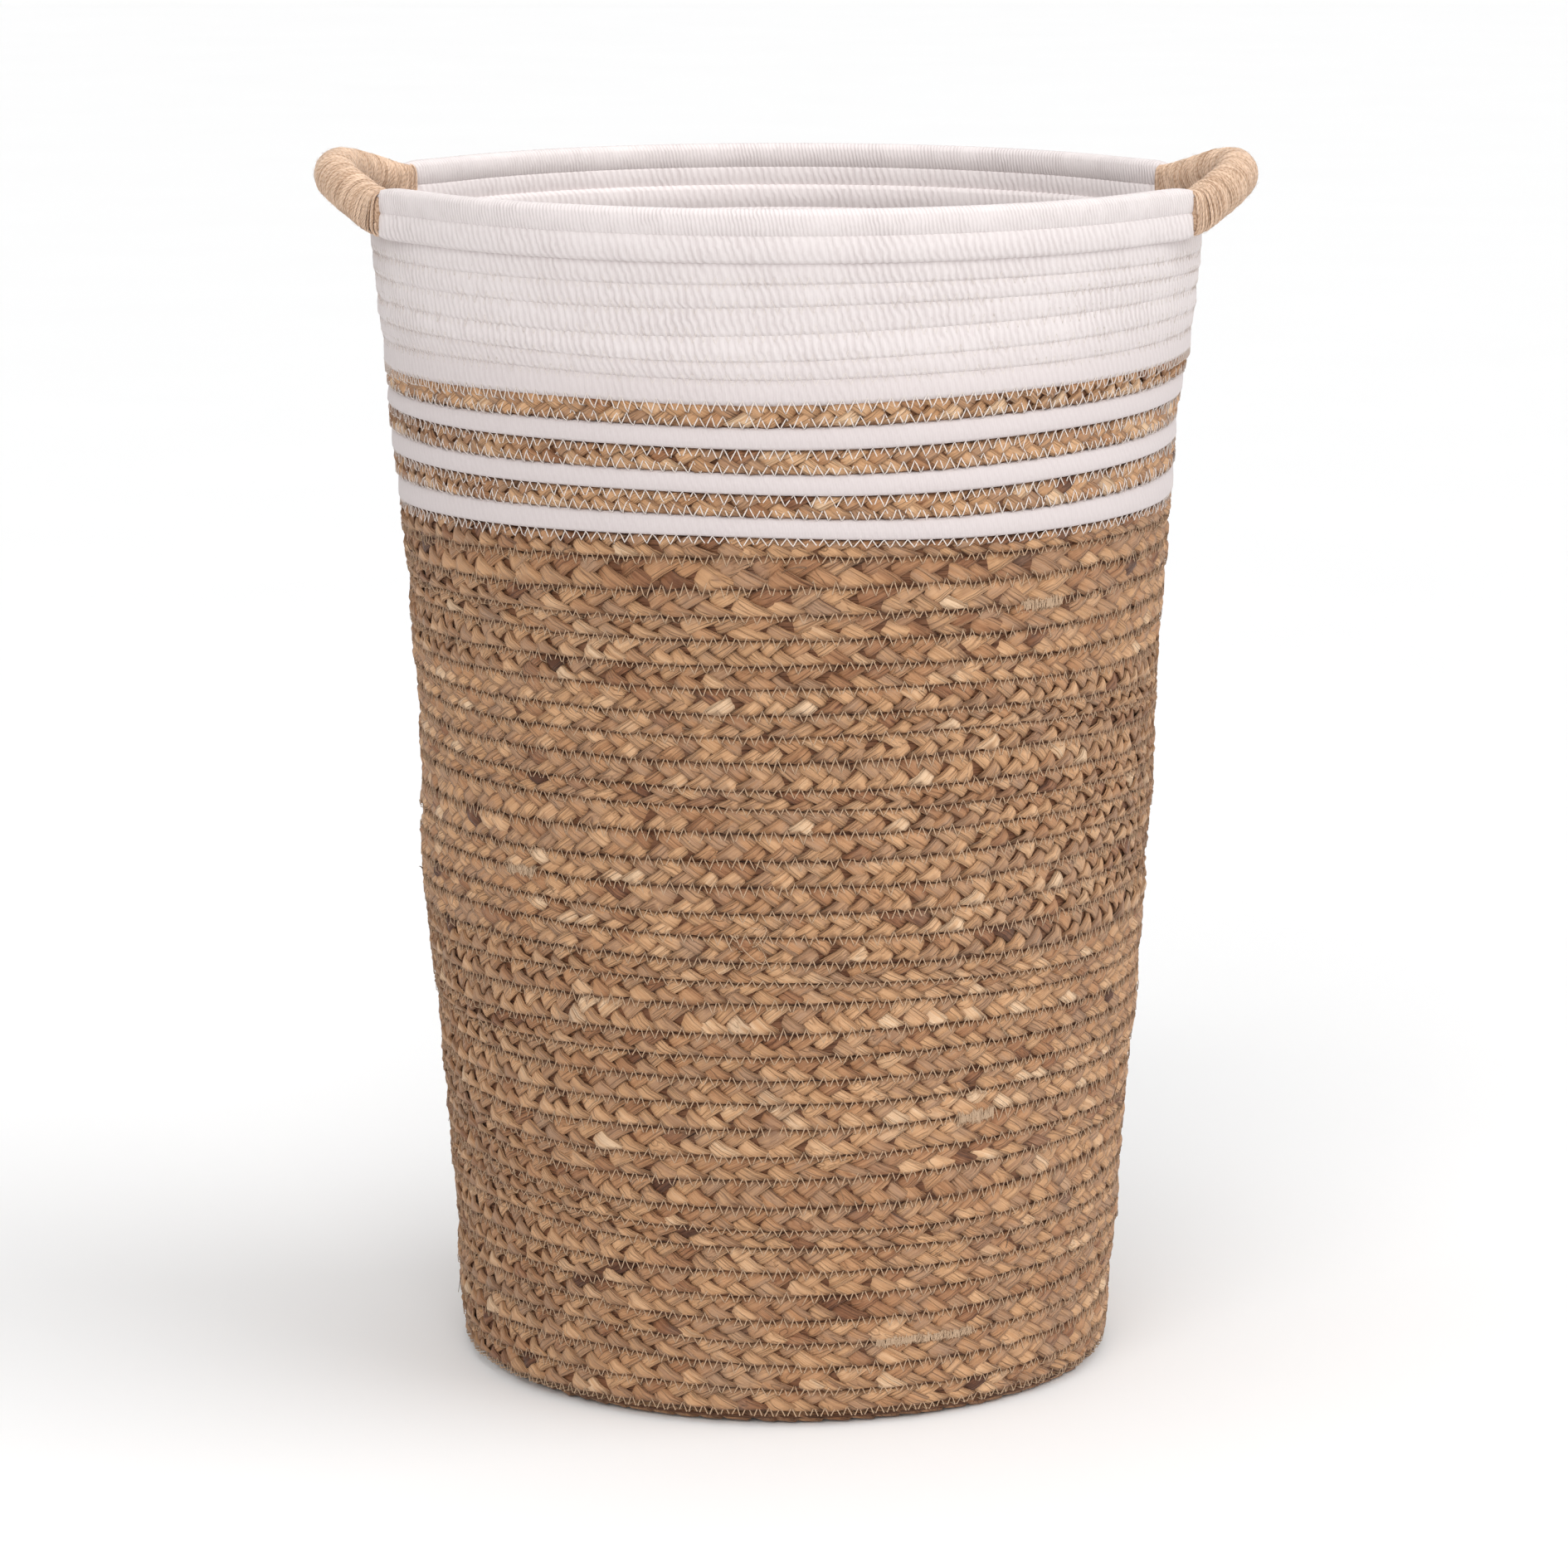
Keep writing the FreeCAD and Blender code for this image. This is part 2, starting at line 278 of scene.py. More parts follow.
class Surface:
    """Gathers tubes into one mesh, with a UV map in metres and named numbers on its points."""

    def __init__(self, *names):
        self.points = []
        self.quads = []
        self.uvs = []
        self.values = {name: [] for name in names}
        self.count = 0

    def tube(self, rings, closed, along, across, **values):
        """Add one tube, given without the first axis that tubes has."""
        values = {name: value[None] for name, value in values.items()}
        self.tubes(rings[None], closed, along[None], across, **values)

    def tubes(self, rings, closed, along, across, **values):
        """Add tubes. rings is (tubes, rings, points, 3); point j of ring i joins point j of ring i + 1.

        A closed tube's last ring joins its first. An open tube ends in a ring shrunk to its middle, which
        closes it with a fan. along and across are the UV of each ring and of each point, in metres. across
        has one more for the seam, and so has along on a closed tube. values hold a number for each ring,
        or for each point.
        """
        tubes, length, width, _ = rings.shape
        if not closed:
            ends = rings[:, [0, -1]].mean(axis=2, keepdims=True).repeat(width, axis=2)
            rings = np.concatenate([ends[:, :1], rings, ends[:, 1:]], axis=1)
            doubled = np.clip(np.arange(-1, length + 1), 0, length - 1)
            along = along[:, doubled]
            values = {name: value[:, doubled] for name, value in values.items()}
            length += 2
        steps = length if closed else length - 1
        i = np.arange(steps)[:, None]
        j = np.arange(width)
        tube = np.arange(tubes)[:, None, None] * length
        near = (tube + i) * width
        far = (tube + (i + 1) % length) * width
        beside = (j + 1) % width
        quads = np.stack([near + j, far + j, far + beside, near + beside], axis=-1).reshape(-1, 4)
        u, u_next = along[:, :steps, None], along[:, 1:steps + 1, None]
        v, v_next = across[:-1], across[1:]
        corners = np.broadcast_arrays(u, v, u_next, v, u_next, v_next, u, v_next)
        uv = np.stack(corners, axis=-1).reshape(-1, 4, 2)
        flat = rings.reshape(-1, 3)
        if self.volume(flat, quads) < 0:
            quads = quads[:, ::-1]
            uv = uv[:, ::-1]
        self.points.append(flat)
        self.quads.append(quads + self.count)
        self.uvs.append(uv)
        for name, store in self.values.items():
            value = values[name] if values[name].ndim == 3 else values[name][..., None]
            store.append(np.broadcast_to(value, (tubes, length, width)).reshape(-1))
        self.count += len(flat)

    @staticmethod
    def volume(points, quads):
        """A multiple of the volume: a sum of each face's middle dotted with its diagonals' cross product."""
        corner = points[quads]
        normal = np.cross(corner[:, 2] - corner[:, 0], corner[:, 3] - corner[:, 1])
        return float(np.einsum("ij,ij->", corner.mean(axis=1), normal))

    def build(self, name, finish, smooth=True):
        """Make the object. Quads that a closed end folds to a line or a triangle lose the spare corners."""
        points = np.concatenate(self.points)
        quads = np.concatenate(self.quads)
        uvs = np.concatenate(self.uvs)
        grid = np.round(points / WELD).astype(np.int64)
        _, first, welded = np.unique(grid, axis=0, return_index=True, return_inverse=True)
        corners = welded.reshape(-1)[quads]
        spare = corners == np.roll(corners, 1, axis=1)
        sizes = 4 - spare.sum(axis=1)
        keep = ~spare & (sizes > 2)[:, None]
        sizes = sizes[sizes > 2]
        loops = corners[keep]
        mesh = bpy.data.meshes.new(name)
        mesh.vertices.add(len(first))
        mesh.vertices.foreach_set("co", points[first].astype(np.float32).reshape(-1))
        mesh.loops.add(len(loops))
        mesh.loops.foreach_set("vertex_index", loops.astype(np.int32))
        mesh.polygons.add(len(sizes))
        mesh.polygons.foreach_set("loop_start", (np.cumsum(sizes) - sizes).astype(np.int32))
        mesh.polygons.foreach_set("loop_total", sizes.astype(np.int32))
        mesh.polygons.foreach_set("use_smooth", np.full(len(sizes), smooth))
        layer = mesh.uv_layers.new(name="length")
        layer.data.foreach_set("uv", uvs[keep].astype(np.float32).reshape(-1))
        for label, store in self.values.items():
            attribute = mesh.attributes.new(label, "FLOAT", "POINT")
            attribute.data.foreach_set("value", np.concatenate(store)[first].astype(np.float32))
        mesh.update()
        mesh.validate()
        mesh.materials.append(material(finish))
        piece = bpy.data.objects.new(name, mesh)
        bpy.context.collection.objects.link(piece)
        return piece

    def settle(self):
        """Move every point to where hand work leaves it."""
        self.points = [settle(points) for points in self.points]

    def install(self, name, finish, nodes=(), smooth=True):
        """Build a piece, fix it to the basket, and hide the nodes that it stands for."""
        piece = self.build(name, finish, smooth)
        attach(piece, BODY)
        if nodes:
            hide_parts(*nodes)


def unit(vectors):
    """Vectors of length one, along the last axis."""
    return vectors / np.maximum(np.linalg.norm(vectors, axis=-1, keepdims=True), 1e-12)


def slopes(line, closed):
    """Direction of a line at each point: from the point before to the point after."""
    if closed:
        return unit(np.roll(line, -1, axis=-2) - np.roll(line, 1, axis=-2))
    return unit(np.gradient(line, axis=-2))


def lengths(line, closed):
    """Distance along a line to each point, and for a closed line back to its start."""
    ends = np.concatenate([line, line[:1]]) if closed else line
    return np.concatenate([[0], np.cumsum(np.linalg.norm(np.diff(ends, axis=0), axis=1))])


def polar(angle, radius, height):
    """Points at an angle and a radius about the basket's axis, and at a height."""
    axes = np.broadcast_arrays(radius * np.cos(angle), radius * np.sin(angle), height)
    return np.stack(axes, axis=-1).astype(float)


def sweep(line, side, face, wide, thick):
    """Rings about a line: its points, plus wide times side, plus thick times face.

    wide and thick hold a number for each point of a ring, or for each ring and each point.
    """
    return (
        line[..., None, :]
        + side[..., None, :] * wide[..., None]
        + face[..., None, :] * thick[..., None]
    )


def wander(rng, knots, count, closed=True):
    """A smooth random line: a normal random number at each knot, joined by easing curves."""
    values = rng.normal(size=knots + 1)
    if closed:
        values[-1] = values[0]
    place = np.arange(count) * knots / count
    low = place.astype(int)
    part = place - low
    ease = part * part * (3 - 2 * part)
    return values[low] * (1 - ease) + values[low + 1] * ease


def oval(points, wide, thick, squareness):
    """Points round an oval whose sides flatten as squareness falls below one.

    Across is wide·|cos a|^squareness and out is thick·|sin a|^squareness, with their signs.
    """
    angle = TURN * (np.arange(points) + 0.5) / points
    across = np.sign(np.cos(angle)) * np.abs(np.cos(angle)) ** squareness
    out = np.sign(np.sin(angle)) * np.abs(np.sin(angle)) ** squareness
    return across * wide, out * thick


# ---------------------------------------------------------------- hand work

WAVES = np.random.default_rng(11)
# Waves of the hand-sewn wall: wavelength up it, whole turns round it, and size.
LIFT_WAVES = (
    (0.029, 0, 0.00055), (0.041, 1, 0.00070), (0.067, 2, 0.00090),
    (0.120, 1, 0.00100), (0.210, 3, 0.00100), (0.370, 2, 0.00080), (0.150, 6, 0.00035),
)
PUSH_WAVES = (
    (0.023, 0, 0.00030), (0.052, 1, 0.00035), (0.110, 3, 0.00050), (0.300, 2, 0.00100), (0.190, 5, 0.00040),
)
LIFT_PHASES = WAVES.uniform(0, TURN, len(LIFT_WAVES))
PUSH_PHASES = WAVES.uniform(0, TURN, len(PUSH_WAVES))
RIM_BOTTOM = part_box("rim_rope_lower_front")[0].z
STRIPE_LEAN = math.tan(math.radians(0.9))
STRIPE_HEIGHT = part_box("stripe_rope_2")[0].z
# How far the waves take to fade in above the floor and out below the rim, and the leaning band's half height.
FLOOR_FADE = 0.03
RIM_FADE = 0.04
LEAN_SPREAD = 0.075


def settle(points):
    """Move points of the ideal basket to where hand work leaves them.

    Lift and push are sums of sines of the height and of whole turns round the wall, so the wall still
    closes. Both fade to nothing at the floor and at the rim ropes. The stripes also lean a little,
    which fades above and below them as a bell curve.
    """
    x, y, z = points[..., 0], points[..., 1], points[..., 2]
    angle = np.arctan2(y, x)
    fade = np.clip(z / FLOOR_FADE, 0, 1) * np.clip((RIM_BOTTOM - z) / RIM_FADE, 0, 1)

    def total(waves, phases):
        return sum(
            size * np.sin(TURN * z / length + turns * angle + phase)
            for (length, turns, size), phase in zip(waves, phases)
        )

    lean = x * STRIPE_LEAN * np.exp(-((z - STRIPE_HEIGHT) / LEAN_SPREAD) ** 2)
    lift = (total(LIFT_WAVES, LIFT_PHASES) + lean) * fade
    push = total(PUSH_WAVES, PUSH_PHASES) * fade
    scale = 1 + push / np.maximum(np.hypot(x, y), 1e-9)
    return np.stack([x * scale, y * scale, z + lift], axis=-1)


# ---------------------------------------------------------------- materials


class Wire:
    """A socket in a material. Arithmetic on it adds Math nodes."""

    def __init__(self, finish, socket):
        self.finish = finish
        self.socket = socket

    def math(self, operation, *others):
        return self.finish.math(operation, self, *others)

    def __add__(self, other):
        return self.math("ADD", other)

    __radd__ = __add__

    def __sub__(self, other):
        return self.math("SUBTRACT", other)

    def __rsub__(self, other):
        return self.finish.math("SUBTRACT", other, self)

    def __mul__(self, other):
        return self.math("MULTIPLY", other)

    __rmul__ = __mul__

    def __pow__(self, other):
        return self.math("POWER", other)

    def clamp(self):
        return self.finish.node("ShaderNodeClamp", {}, {"Value": self, "Min": 0.0, "Max": 1.0})

    def ripple(self):
        """Rounded ridges, one for each whole number: the sine of π times the value, without its sign."""
        return (self * math.pi).math("SINE").math("ABSOLUTE")


class Finish:
    """A material under construction."""

    def __init__(self, name):
        self.material = bpy.data.materials.new(name)
        self.material.use_nodes = True
        self.tree = self.material.node_tree
        self.shader = self.tree.nodes["Principled BSDF"]

    def node(self, kind, settings, inputs, output=0):
        """Add a node: its settings first, then a value or a link for each input. Returns one output."""
        made = self.tree.nodes.new(kind)
        for name, value in settings.items():
            if name == "stops":
                self.set_stops(made.color_ramp, value)
            else:
                setattr(made, name, value)
        for name, value in inputs.items():
            self.plug(made.inputs[name], value)
        return Wire(self, made.outputs[output])

    def plug(self, socket, value):
        if isinstance(value, Wire):
            self.tree.links.new(value.socket, socket)
        else:
            socket.default_value = value

    @staticmethod
    def set_stops(ramp, stops):
        while len(ramp.elements) < len(stops):
            ramp.elements.new(0.5)
        for element, (place, colour) in zip(ramp.elements, stops):
            element.position = place
            element.color = (*colour, 1)

    def math(self, operation, *values):
        return self.node("ShaderNodeMath", {"operation": operation}, dict(enumerate(values)))

    def vector(self, operation, *values):
        return self.node("ShaderNodeVectorMath", {"operation": operation}, dict(enumerate(values)))

    def part(self, vector, axis):
        return self.node("ShaderNodeSeparateXYZ", {}, {0: vector}, output=axis)

    def ramp(self, value, stops):
        return self.node("ShaderNodeValToRGB", {"stops": stops}, {"Fac": value})

    def mix(self, factor, low, high, blend="MIX"):
        """Two colours mixed by a factor. The colour sockets of a Mix node are its sixth and seventh."""
        low, high = (c if isinstance(c, Wire) else (*c, 1) for c in (low, high))
        settings = {"data_type": "RGBA", "blend_type": blend}
        return self.node("ShaderNodeMix", settings, {0: factor, 6: low, 7: high}, output=2)

    def number(self, name):
        """A number stored on the mesh's points."""
        return self.node("ShaderNodeAttribute", {"attribute_name": name}, {}, output=2)

    def length_map(self, along, across, shift=None):
        """The piece's own UV map, in metres, times a pattern's grain each way. shift moves it elsewhere."""
        uv = self.node("ShaderNodeUVMap", {"uv_map": "length"}, {})
        scaled = self.vector("MULTIPLY", uv, (along, across, 1))
        if shift is None:
            return scaled
        offset = self.node("ShaderNodeCombineXYZ", {}, {"X": 0.0, "Y": shift * 7.0, "Z": shift * 31.0})
        return self.vector("ADD", scaled, offset)

    def place(self):
        return self.node("ShaderNodeTexCoord", {}, {}, output="Object")

    def noise(self, vector, scale, detail=2.0, roughness=0.5):
        inputs = {"Vector": vector, "Scale": scale, "Detail": detail, "Roughness": roughness}
        return self.node("ShaderNodeTexNoise", {"noise_dimensions": "3D"}, inputs)

    def spots(self, noise, level, steepness):
        """Patches where a noise passes a level, with an edge as sharp as its steepness."""
        return ((noise - level) * steepness).clamp()

    def finish(self, colour, roughness, height=None, bump=0.0, constants=()):
        """Join the shader up: what varies by links, and the constants on the shader's own sockets."""
        self.plug(self.shader.inputs["Base Color"], colour)
        self.plug(self.shader.inputs["Roughness"], roughness)
        for name, value in dict(constants).items():
            self.shader.inputs[name].default_value = value
        if height is not None:
            normal = self.node("ShaderNodeBump", {}, {"Height": height, "Distance": bump, "Strength": 1.0})
            self.plug(self.shader.inputs["Normal"], normal)
        return self.material


# Dry water hyacinth, from the rare dark leaf to the rare pale one, as the leaf's random tone rises.
HYACINTH_TONES = (
    (0.00, (0.085, 0.030, 0.012)),
    (0.06, (0.160, 0.062, 0.026)),
    (0.14, (0.260, 0.113, 0.050)),
    (0.28, (0.360, 0.178, 0.084)),
    (0.42, (0.460, 0.242, 0.117)),
    (0.54, (0.360, 0.205, 0.117)),
    (0.66, (0.490, 0.272, 0.135)),
    (0.82, (0.570, 0.328, 0.172)),
    (0.94, (0.620, 0.385, 0.218)),
    (1.00, (0.690, 0.475, 0.300)),
)
# The greyer brown of weathered patches.
WEATHERED_TONE = (0.310, 0.210, 0.150)
# What multiplies a leaf's colour, from the dark between its fibres to their crests.
FIBRE_SHADES = ((0.0, (0.26, 0.15, 0.085)), (0.5, (0.77, 0.70, 0.63)), (1.0, (1.0, 1.0, 1.0)))


def hyacinth_finish():
    """Flat dry leaves: a tone for each leaf, long fibres, dark splits along it, painted shade at each leaf's
    edges, and painted shade where leaves dive and at the seams.
    """
    f = Finish("dry_hyacinth")
    tone = f.number("tone")
    crease = f.number("crease")
    fibres = f.noise(f.length_map(70.0, 2200.0, tone), 1.0, 2.0, 0.6)
    streaks = f.noise(f.length_map(26.0, 620.0, tone), 1.0)
    splits = f.noise(f.length_map(22.0, 330.0, tone), 1.0, 1.0)
    blotches = f.noise(f.place(), 120.0, 3.0, 0.6)
    stain = f.spots(f.noise(f.length_map(60.0, 240.0), 1.0), 0.655, 7.0)
    pale = f.spots(f.noise(f.length_map(30.0, 420.0), 1.0, 1.0), 0.70, 7.0)
    shifted = (tone + (blotches - 0.5) * 0.20 + (streaks - 0.5) * 0.34 - stain * 0.45 + pale * 0.3).clamp()
    weathered = f.spots(f.noise(f.place(), 55.0), 0.52, 4.0) * 0.45
    leaf = f.mix(weathered, f.ramp(shifted, HYACINTH_TONES), WEATHERED_TONE)
    split = (1.0 - (splits - 0.5).math("ABSOLUTE") * 16.0).clamp() ** 2.0
    # Painted shade along each leaf's edges, round its section.
    girth = f.part(f.length_map(1.0, TURN / STRAND_GIRTH), "Y")
    edge = girth.math("COSINE").math("ABSOLUTE") ** 10.0
    shade = ((fibres - 0.5) * 1.9 + (streaks - 0.5) * 0.9 + 0.97 - split * 0.16 - edge * 0.42).clamp()
    lines = f.mix(1.0, leaf, f.ramp(shade, FIBRE_SHADES), "MULTIPLY")
    # Painted shade mixed in where a leaf dives, at the seams and on the core.
    colour = f.mix((crease * 0.55).clamp(), lines, bpy.context.scene.basket_finish.painted_shade_colour)
    height = fibres * 0.5 + streaks * 0.8 - split * 0.5
    return f.finish(colour, (0.62 - (streaks - 0.5) * 0.3).clamp(), height, 0.0011,
                    {"Specular IOR Level": 0.35, "Sheen Weight": 0.05, "Sheen Roughness": 0.5})


# Painted shade in a rope's grooves: their colour, as shares of the cotton's.
GROOVE_SHADE_SHARES = (0.80, 0.77, 0.77)


def cotton_finish():
    """Braided cotton: curved, leaning ribs with painted shade in the grooves between them and a painted
    highlight along each narrow crest, and a fine knit.

    Where ribbed is low the grooves are faint, and the cotton is a little darker all over.
    """
    f = Finish("braided_cotton")
    rib_map = f.length_map(1.0 / bpy.context.scene.basket_rope.rib_pitch, RIB_LEAN / ROPE_GIRTH)
    along = f.part(rib_map, "X")
    around = f.part(rib_map, "Y")
    soft = f.noise(f.place(), 160.0)
    broad = f.noise(f.place(), 30.0, 3.0)
    curve = (around * (TURN / RIB_LEAN * 2.0)).math("SINE") * 0.22
    rib = (along + around + curve + (soft - 0.5) * 1.1).ripple()
    fine = (along * 3.0 + around * 2.0 + (soft - 0.5) * 1.2).ripple()
    knit = f.noise(f.length_map(1500.0, 700.0), 1.0, 2.0, 0.6)
    ribbed = f.number("ribbed")
    depth = (0.6 + (broad - 0.5) * 1.2 + (soft - 0.5) * 1.0).clamp() * ribbed
    height = rib ** 1.2 * depth + fine ** 0.7 * 0.10 + knit * 0.30
    light = bpy.context.scene.basket_finish.cotton
    dark = [share * value for share, value in zip(GROOVE_SHADE_SHARES, light)]
    # Painted shade in the rib and fine grooves, which leaves a painted highlight on each rib's crest.
    groove_shade = (1.0 - rib ** 2.5) * depth * 0.9 + (1.0 - fine) * 0.12 + (1.0 - ribbed) * 0.8
    colour = f.mix((1.0 - groove_shade + (knit - 0.5) * 0.5).clamp(), dark, light)
    return f.finish(colour, 0.92, height, 0.00032,
                    {"Sheen Weight": 0.1, "Sheen Roughness": 0.6, "Specular IOR Level": 0.2})


def thread_finish(name, colour):
    """Twisted sewing thread, a little uneven in tone."""
    f = Finish(name)
    tone = f.noise(f.place(), 260.0)
    settings = {"wave_type": "BANDS", "bands_direction": "DIAGONAL", "wave_profile": "SIN"}
    inputs = {"Vector": f.length_map(1.0, 1.0), "Scale": 500.0, "Distortion": 0.5, "Detail Scale": 1.0}
    twist = f.node("ShaderNodeTexWave", settings, inputs, output="Fac")
    shade = f.mix((tone * 1.3 - 0.1).clamp(), [0.86 * value for value in colour], colour)
    return f.finish(shade, 0.7, twist, 0.0001, {"Specular IOR Level": 0.3})


# Crossings of the yarn's two plies along a metre of it.
PLIES_PER_METRE = 420.0


def jute_finish():
    """Jute yarn: a tone for each length of it, fibres along it, and painted shade where its two plies meet,
    with a painted highlight on each ply.
    """
    f = Finish("jute_yarn")
    colours = bpy.context.scene.basket_finish
    tone = f.number("tone")
    fibres = f.noise(f.length_map(330.0, 1500.0), 1.0, 3.0, 0.65)
    patches = f.noise(f.place(), 90.0, 3.0, 0.6)
    yarn = f.length_map(PLIES_PER_METRE, 2 / (TURN * bpy.context.scene.basket_handle.yarn_radius))
    # Painted shade where the plies meet, painted highlight on each ply's crest.
    ply = (f.part(yarn, "X") + f.part(yarn, "Y") + (patches - 0.5) * 3.0).ripple()
    uneven = (fibres - 0.5) * 1.7 + (patches - 0.5) * 0.8 + (tone - 0.5) * 0.8
    colour = f.mix((ply ** 0.6 * 0.45 + uneven + 0.34).clamp(), colours.jute_dark, colours.jute_light)
    return f.finish(colour, 0.85, ply * 0.6 + fibres, 0.0004,
                    {"Sheen Weight": 0.2, "Sheen Roughness": 0.5, "Specular IOR Level": 0.25})


def floor_finish():
    """A plain pale floor."""
    f = Finish("studio_floor")
    tone = f.noise(f.place(), 3.0)
    return f.finish(f.mix(tone, (0.92, 0.92, 0.92), (0.94, 0.94, 0.94)), 0.8)


# The thread over the rope seams is the cotton's colour times these.
ROPE_THREAD_SHARES = (1.08, 1.06, 1.0)


def material(name):
    """The shared material of a name, made the first time it's asked for.

    None has the name of a material slot in the record, which the frame's own plain materials have.
    """
    found = bpy.data.materials.get(name)
    if found:
        return found
    colours = bpy.context.scene.basket_finish
    threads = {
        "white_thread": colours.white_thread,
        "rope_thread": [share * value for share, value in zip(ROPE_THREAD_SHARES, colours.cotton)],
        "beige_thread": colours.beige_thread,
    }
    if name in threads:
        return thread_finish(name, threads[name])
    makers = {
        "dry_hyacinth": hyacinth_finish,
        "braided_cotton": cotton_finish,
        "jute_yarn": jute_finish,
        "studio_floor": floor_finish,
    }
    return makers[name]()


# ---------------------------------------------------------------- plaits


# Length that stands for once round a strand's section in the UV map, whatever the strand's own size.
STRAND_GIRTH = 0.026
# How far, in the strand's phase, its cross sections draw towards its crossings, where its leaves dive.
GATHER = 0.14
# Painted sheen: the leaves on a plait's lower or outer edge are this much lighter than the mean of both
# edges, and the others this much darker, for how their grain catches the light.
PAINTED_SHEEN = 0.06
# Painted shade: a plait darkens towards its seams, where the courses meet, from this share of its half width,
# this much.
SEAM_EDGE = 0.84
SEAM_PAINTED_SHADE = 1.2
# Half the size of the dark core, a sheet of painted shade that shows through the holes between strands: a
# share of the plait's width, and metres out. Its corners pass the seams.
SHADE_CORE_WIDTH = 0.6
SHADE_CORE_THICKNESS = 0.0011


def between(rows, place, closed):
    """Rows at places between them, by straight lines from each row to the next."""
    low = np.floor(place).astype(int)
    part = (place - low).reshape(-1, *[1] * (rows.ndim - 1))
    last = len(rows) - 1
    near, far = (i % len(rows) if closed else np.clip(i, 0, last) for i in (low, low + 1))
    return rows[near] * (1 - part) + rows[far] * part


def plait(surface, rng, path, width, period, closed, lean, rough, squeeze=1.0, tint=0.0):
    """Three flattened strands plaited about a line, on a thin dark core that paints the shade in the holes
    between them.

    path holds the plait's middle, the way across it and the way out of it, one row for each step. With
    t the phase of a strand, a third of a period from the next strand's, its sections are at even t less
    GATHER·sin 4t, which draws them to the crossings. The strand stands A·asin(s·sin t)/asin(s) across
    and lean·B·(sin 2t)^0.7 out, where s is the sharpness. Its sections run square to it in the middle,
    where strands cross, and along the plait at the edges, where it folds flat: their slant is the
    slope's complement times cos t, and they lengthen as they slant less so that the strand keeps its
    width. They tilt out towards their leading end, like shingles. Each half period is one leaf, with
    its own tone. lean is 1 or -1 and says which way the leaves point. rough scales the unevenness, and
    tint makes the whole plait lighter or darker.
    """
    settings = bpy.context.scene.basket_plait
    line, side, face = path
    steps = settings.steps
    count = len(line)
    periods = count // steps
    distance = lengths(line, closed)
    rows = (line, slopes(line, closed), side, face)
    wide = settings.cover * period / 3
    thickness = settings.strand_thickness * squeeze
    half_depth = (settings.thickness * squeeze - thickness - settings.shingle * wide * 0.8) / 2
    half_width = (width - thickness) / 2 + 0.0001
    sharp = settings.sharpness
    across_cut, out_cut = oval(settings.points, 0.5, 0.5, 0.62)
    girth = np.linspace(0, STRAND_GIRTH, settings.points + 1)
    slope = math.atan(half_width * sharp / math.asin(sharp) * TURN / period)

    def change(knots=2):
        return settings.unevenness * rough * wander(rng, knots * periods, count, closed)

    batch = rng.normal(tint + 0.02, 0.04)
    for strand in range(3):
        even = TURN * ((np.arange(count) + 0.5) / steps + strand / 3)
        place = (even - GATHER * np.sin(4 * even)) * steps / TURN - strand * steps / 3
        phase = TURN * (place / steps + strand / 3) + 0.9 * change(1)
        middle, ahead, across, out = (between(row, place, closed) for row in rows)
        leaf = np.floor((phase + lean * math.pi / 6) / math.pi).astype(int) % (2 * periods + 2)
        swing = np.sin(2 * phase)
        climb = np.arcsin(sharp * np.sin(phase)) / math.asin(sharp)
        reach = half_width * (1 + 0.25 * change()) * climb
        depth = half_depth * (1 + 0.5 * change()) * lean * np.sign(swing) * np.abs(swing) ** 0.7
        size = wide * (1 + 0.6 * change())
        thick = thickness * (1 + 0.9 * change())
        onward = 0.006 * change()
        strand_line = middle + ahead * onward[:, None] + across * reach[:, None] + out * depth[:, None]
        slant = (math.pi / 2 - slope) * np.cos(phase) + 0.4 * change()
        size = size * math.sin(slope) / np.sin(np.minimum(slope + np.abs(slant), math.pi / 2))
        tilt = lean * settings.shingle + 0.3 * change()
        section = unit(ahead * np.cos(slant)[:, None] - across * np.sin(slant)[:, None] + out * tilt[:, None])
        normal = unit(np.cross(slopes(strand_line, closed), section))
        rings = sweep(strand_line, section, normal, size[:, None] * across_cut, thick[:, None] * out_cut)
        tones = 0.14 + 0.8 * rng.beta(2.6, 2.2, 2 * periods + 2)
        odd = rng.random(2 * periods + 2)
        tones = np.where(odd < 0.012, 0.08 + 5 * odd, np.where(odd > 0.992, 0.95, tones))
        # Painted sheen: leaves on one edge lighter, the other edge's as much darker.
        tones += np.where(np.arange(len(tones)) % 2, PAINTED_SHEEN, -PAINTED_SHEEN)
        drift = batch + 0.07 * wander(rng, max(3, periods // 4), count, closed)
        tone = np.clip(tones[leaf] + drift + 0.05 * wander(rng, periods, count, closed), 0, 1)
        # Painted shade, growing towards the seams.
        off = np.abs(((rings - middle[:, None]) * across[:, None]).sum(axis=2)) / (width / 2)
        seam = SEAM_PAINTED_SHADE * np.clip((off - SEAM_EDGE) / (1 - SEAM_EDGE), 0, 1)
        # Painted shade where the strand dives behind its neighbours, and towards the seams.
        crease = np.maximum(np.clip(-lean * swing, 0, 1)[:, None], seam)
        along = np.append(place, place[0] + count) * distance[-1] / count + rng.uniform(0, 3) + strand
        surface.tube(rings, closed, along, girth, tone=tone, crease=crease)

    # Painted shade: a dark sheet along the plait's middle, seen only through the holes between strands.
    some = slice(None, None, steps // 3)
    shade_core = sweep(line[some], side[some], face[some], *oval(6, width * SHADE_CORE_WIDTH, SHADE_CORE_THICKNESS, 0.8))
    dark = np.ones(len(shade_core))
    surface.tube(shade_core, closed, distance[some], np.linspace(0, STRAND_GIRTH, 7), tone=0.1 * dark, crease=dark)


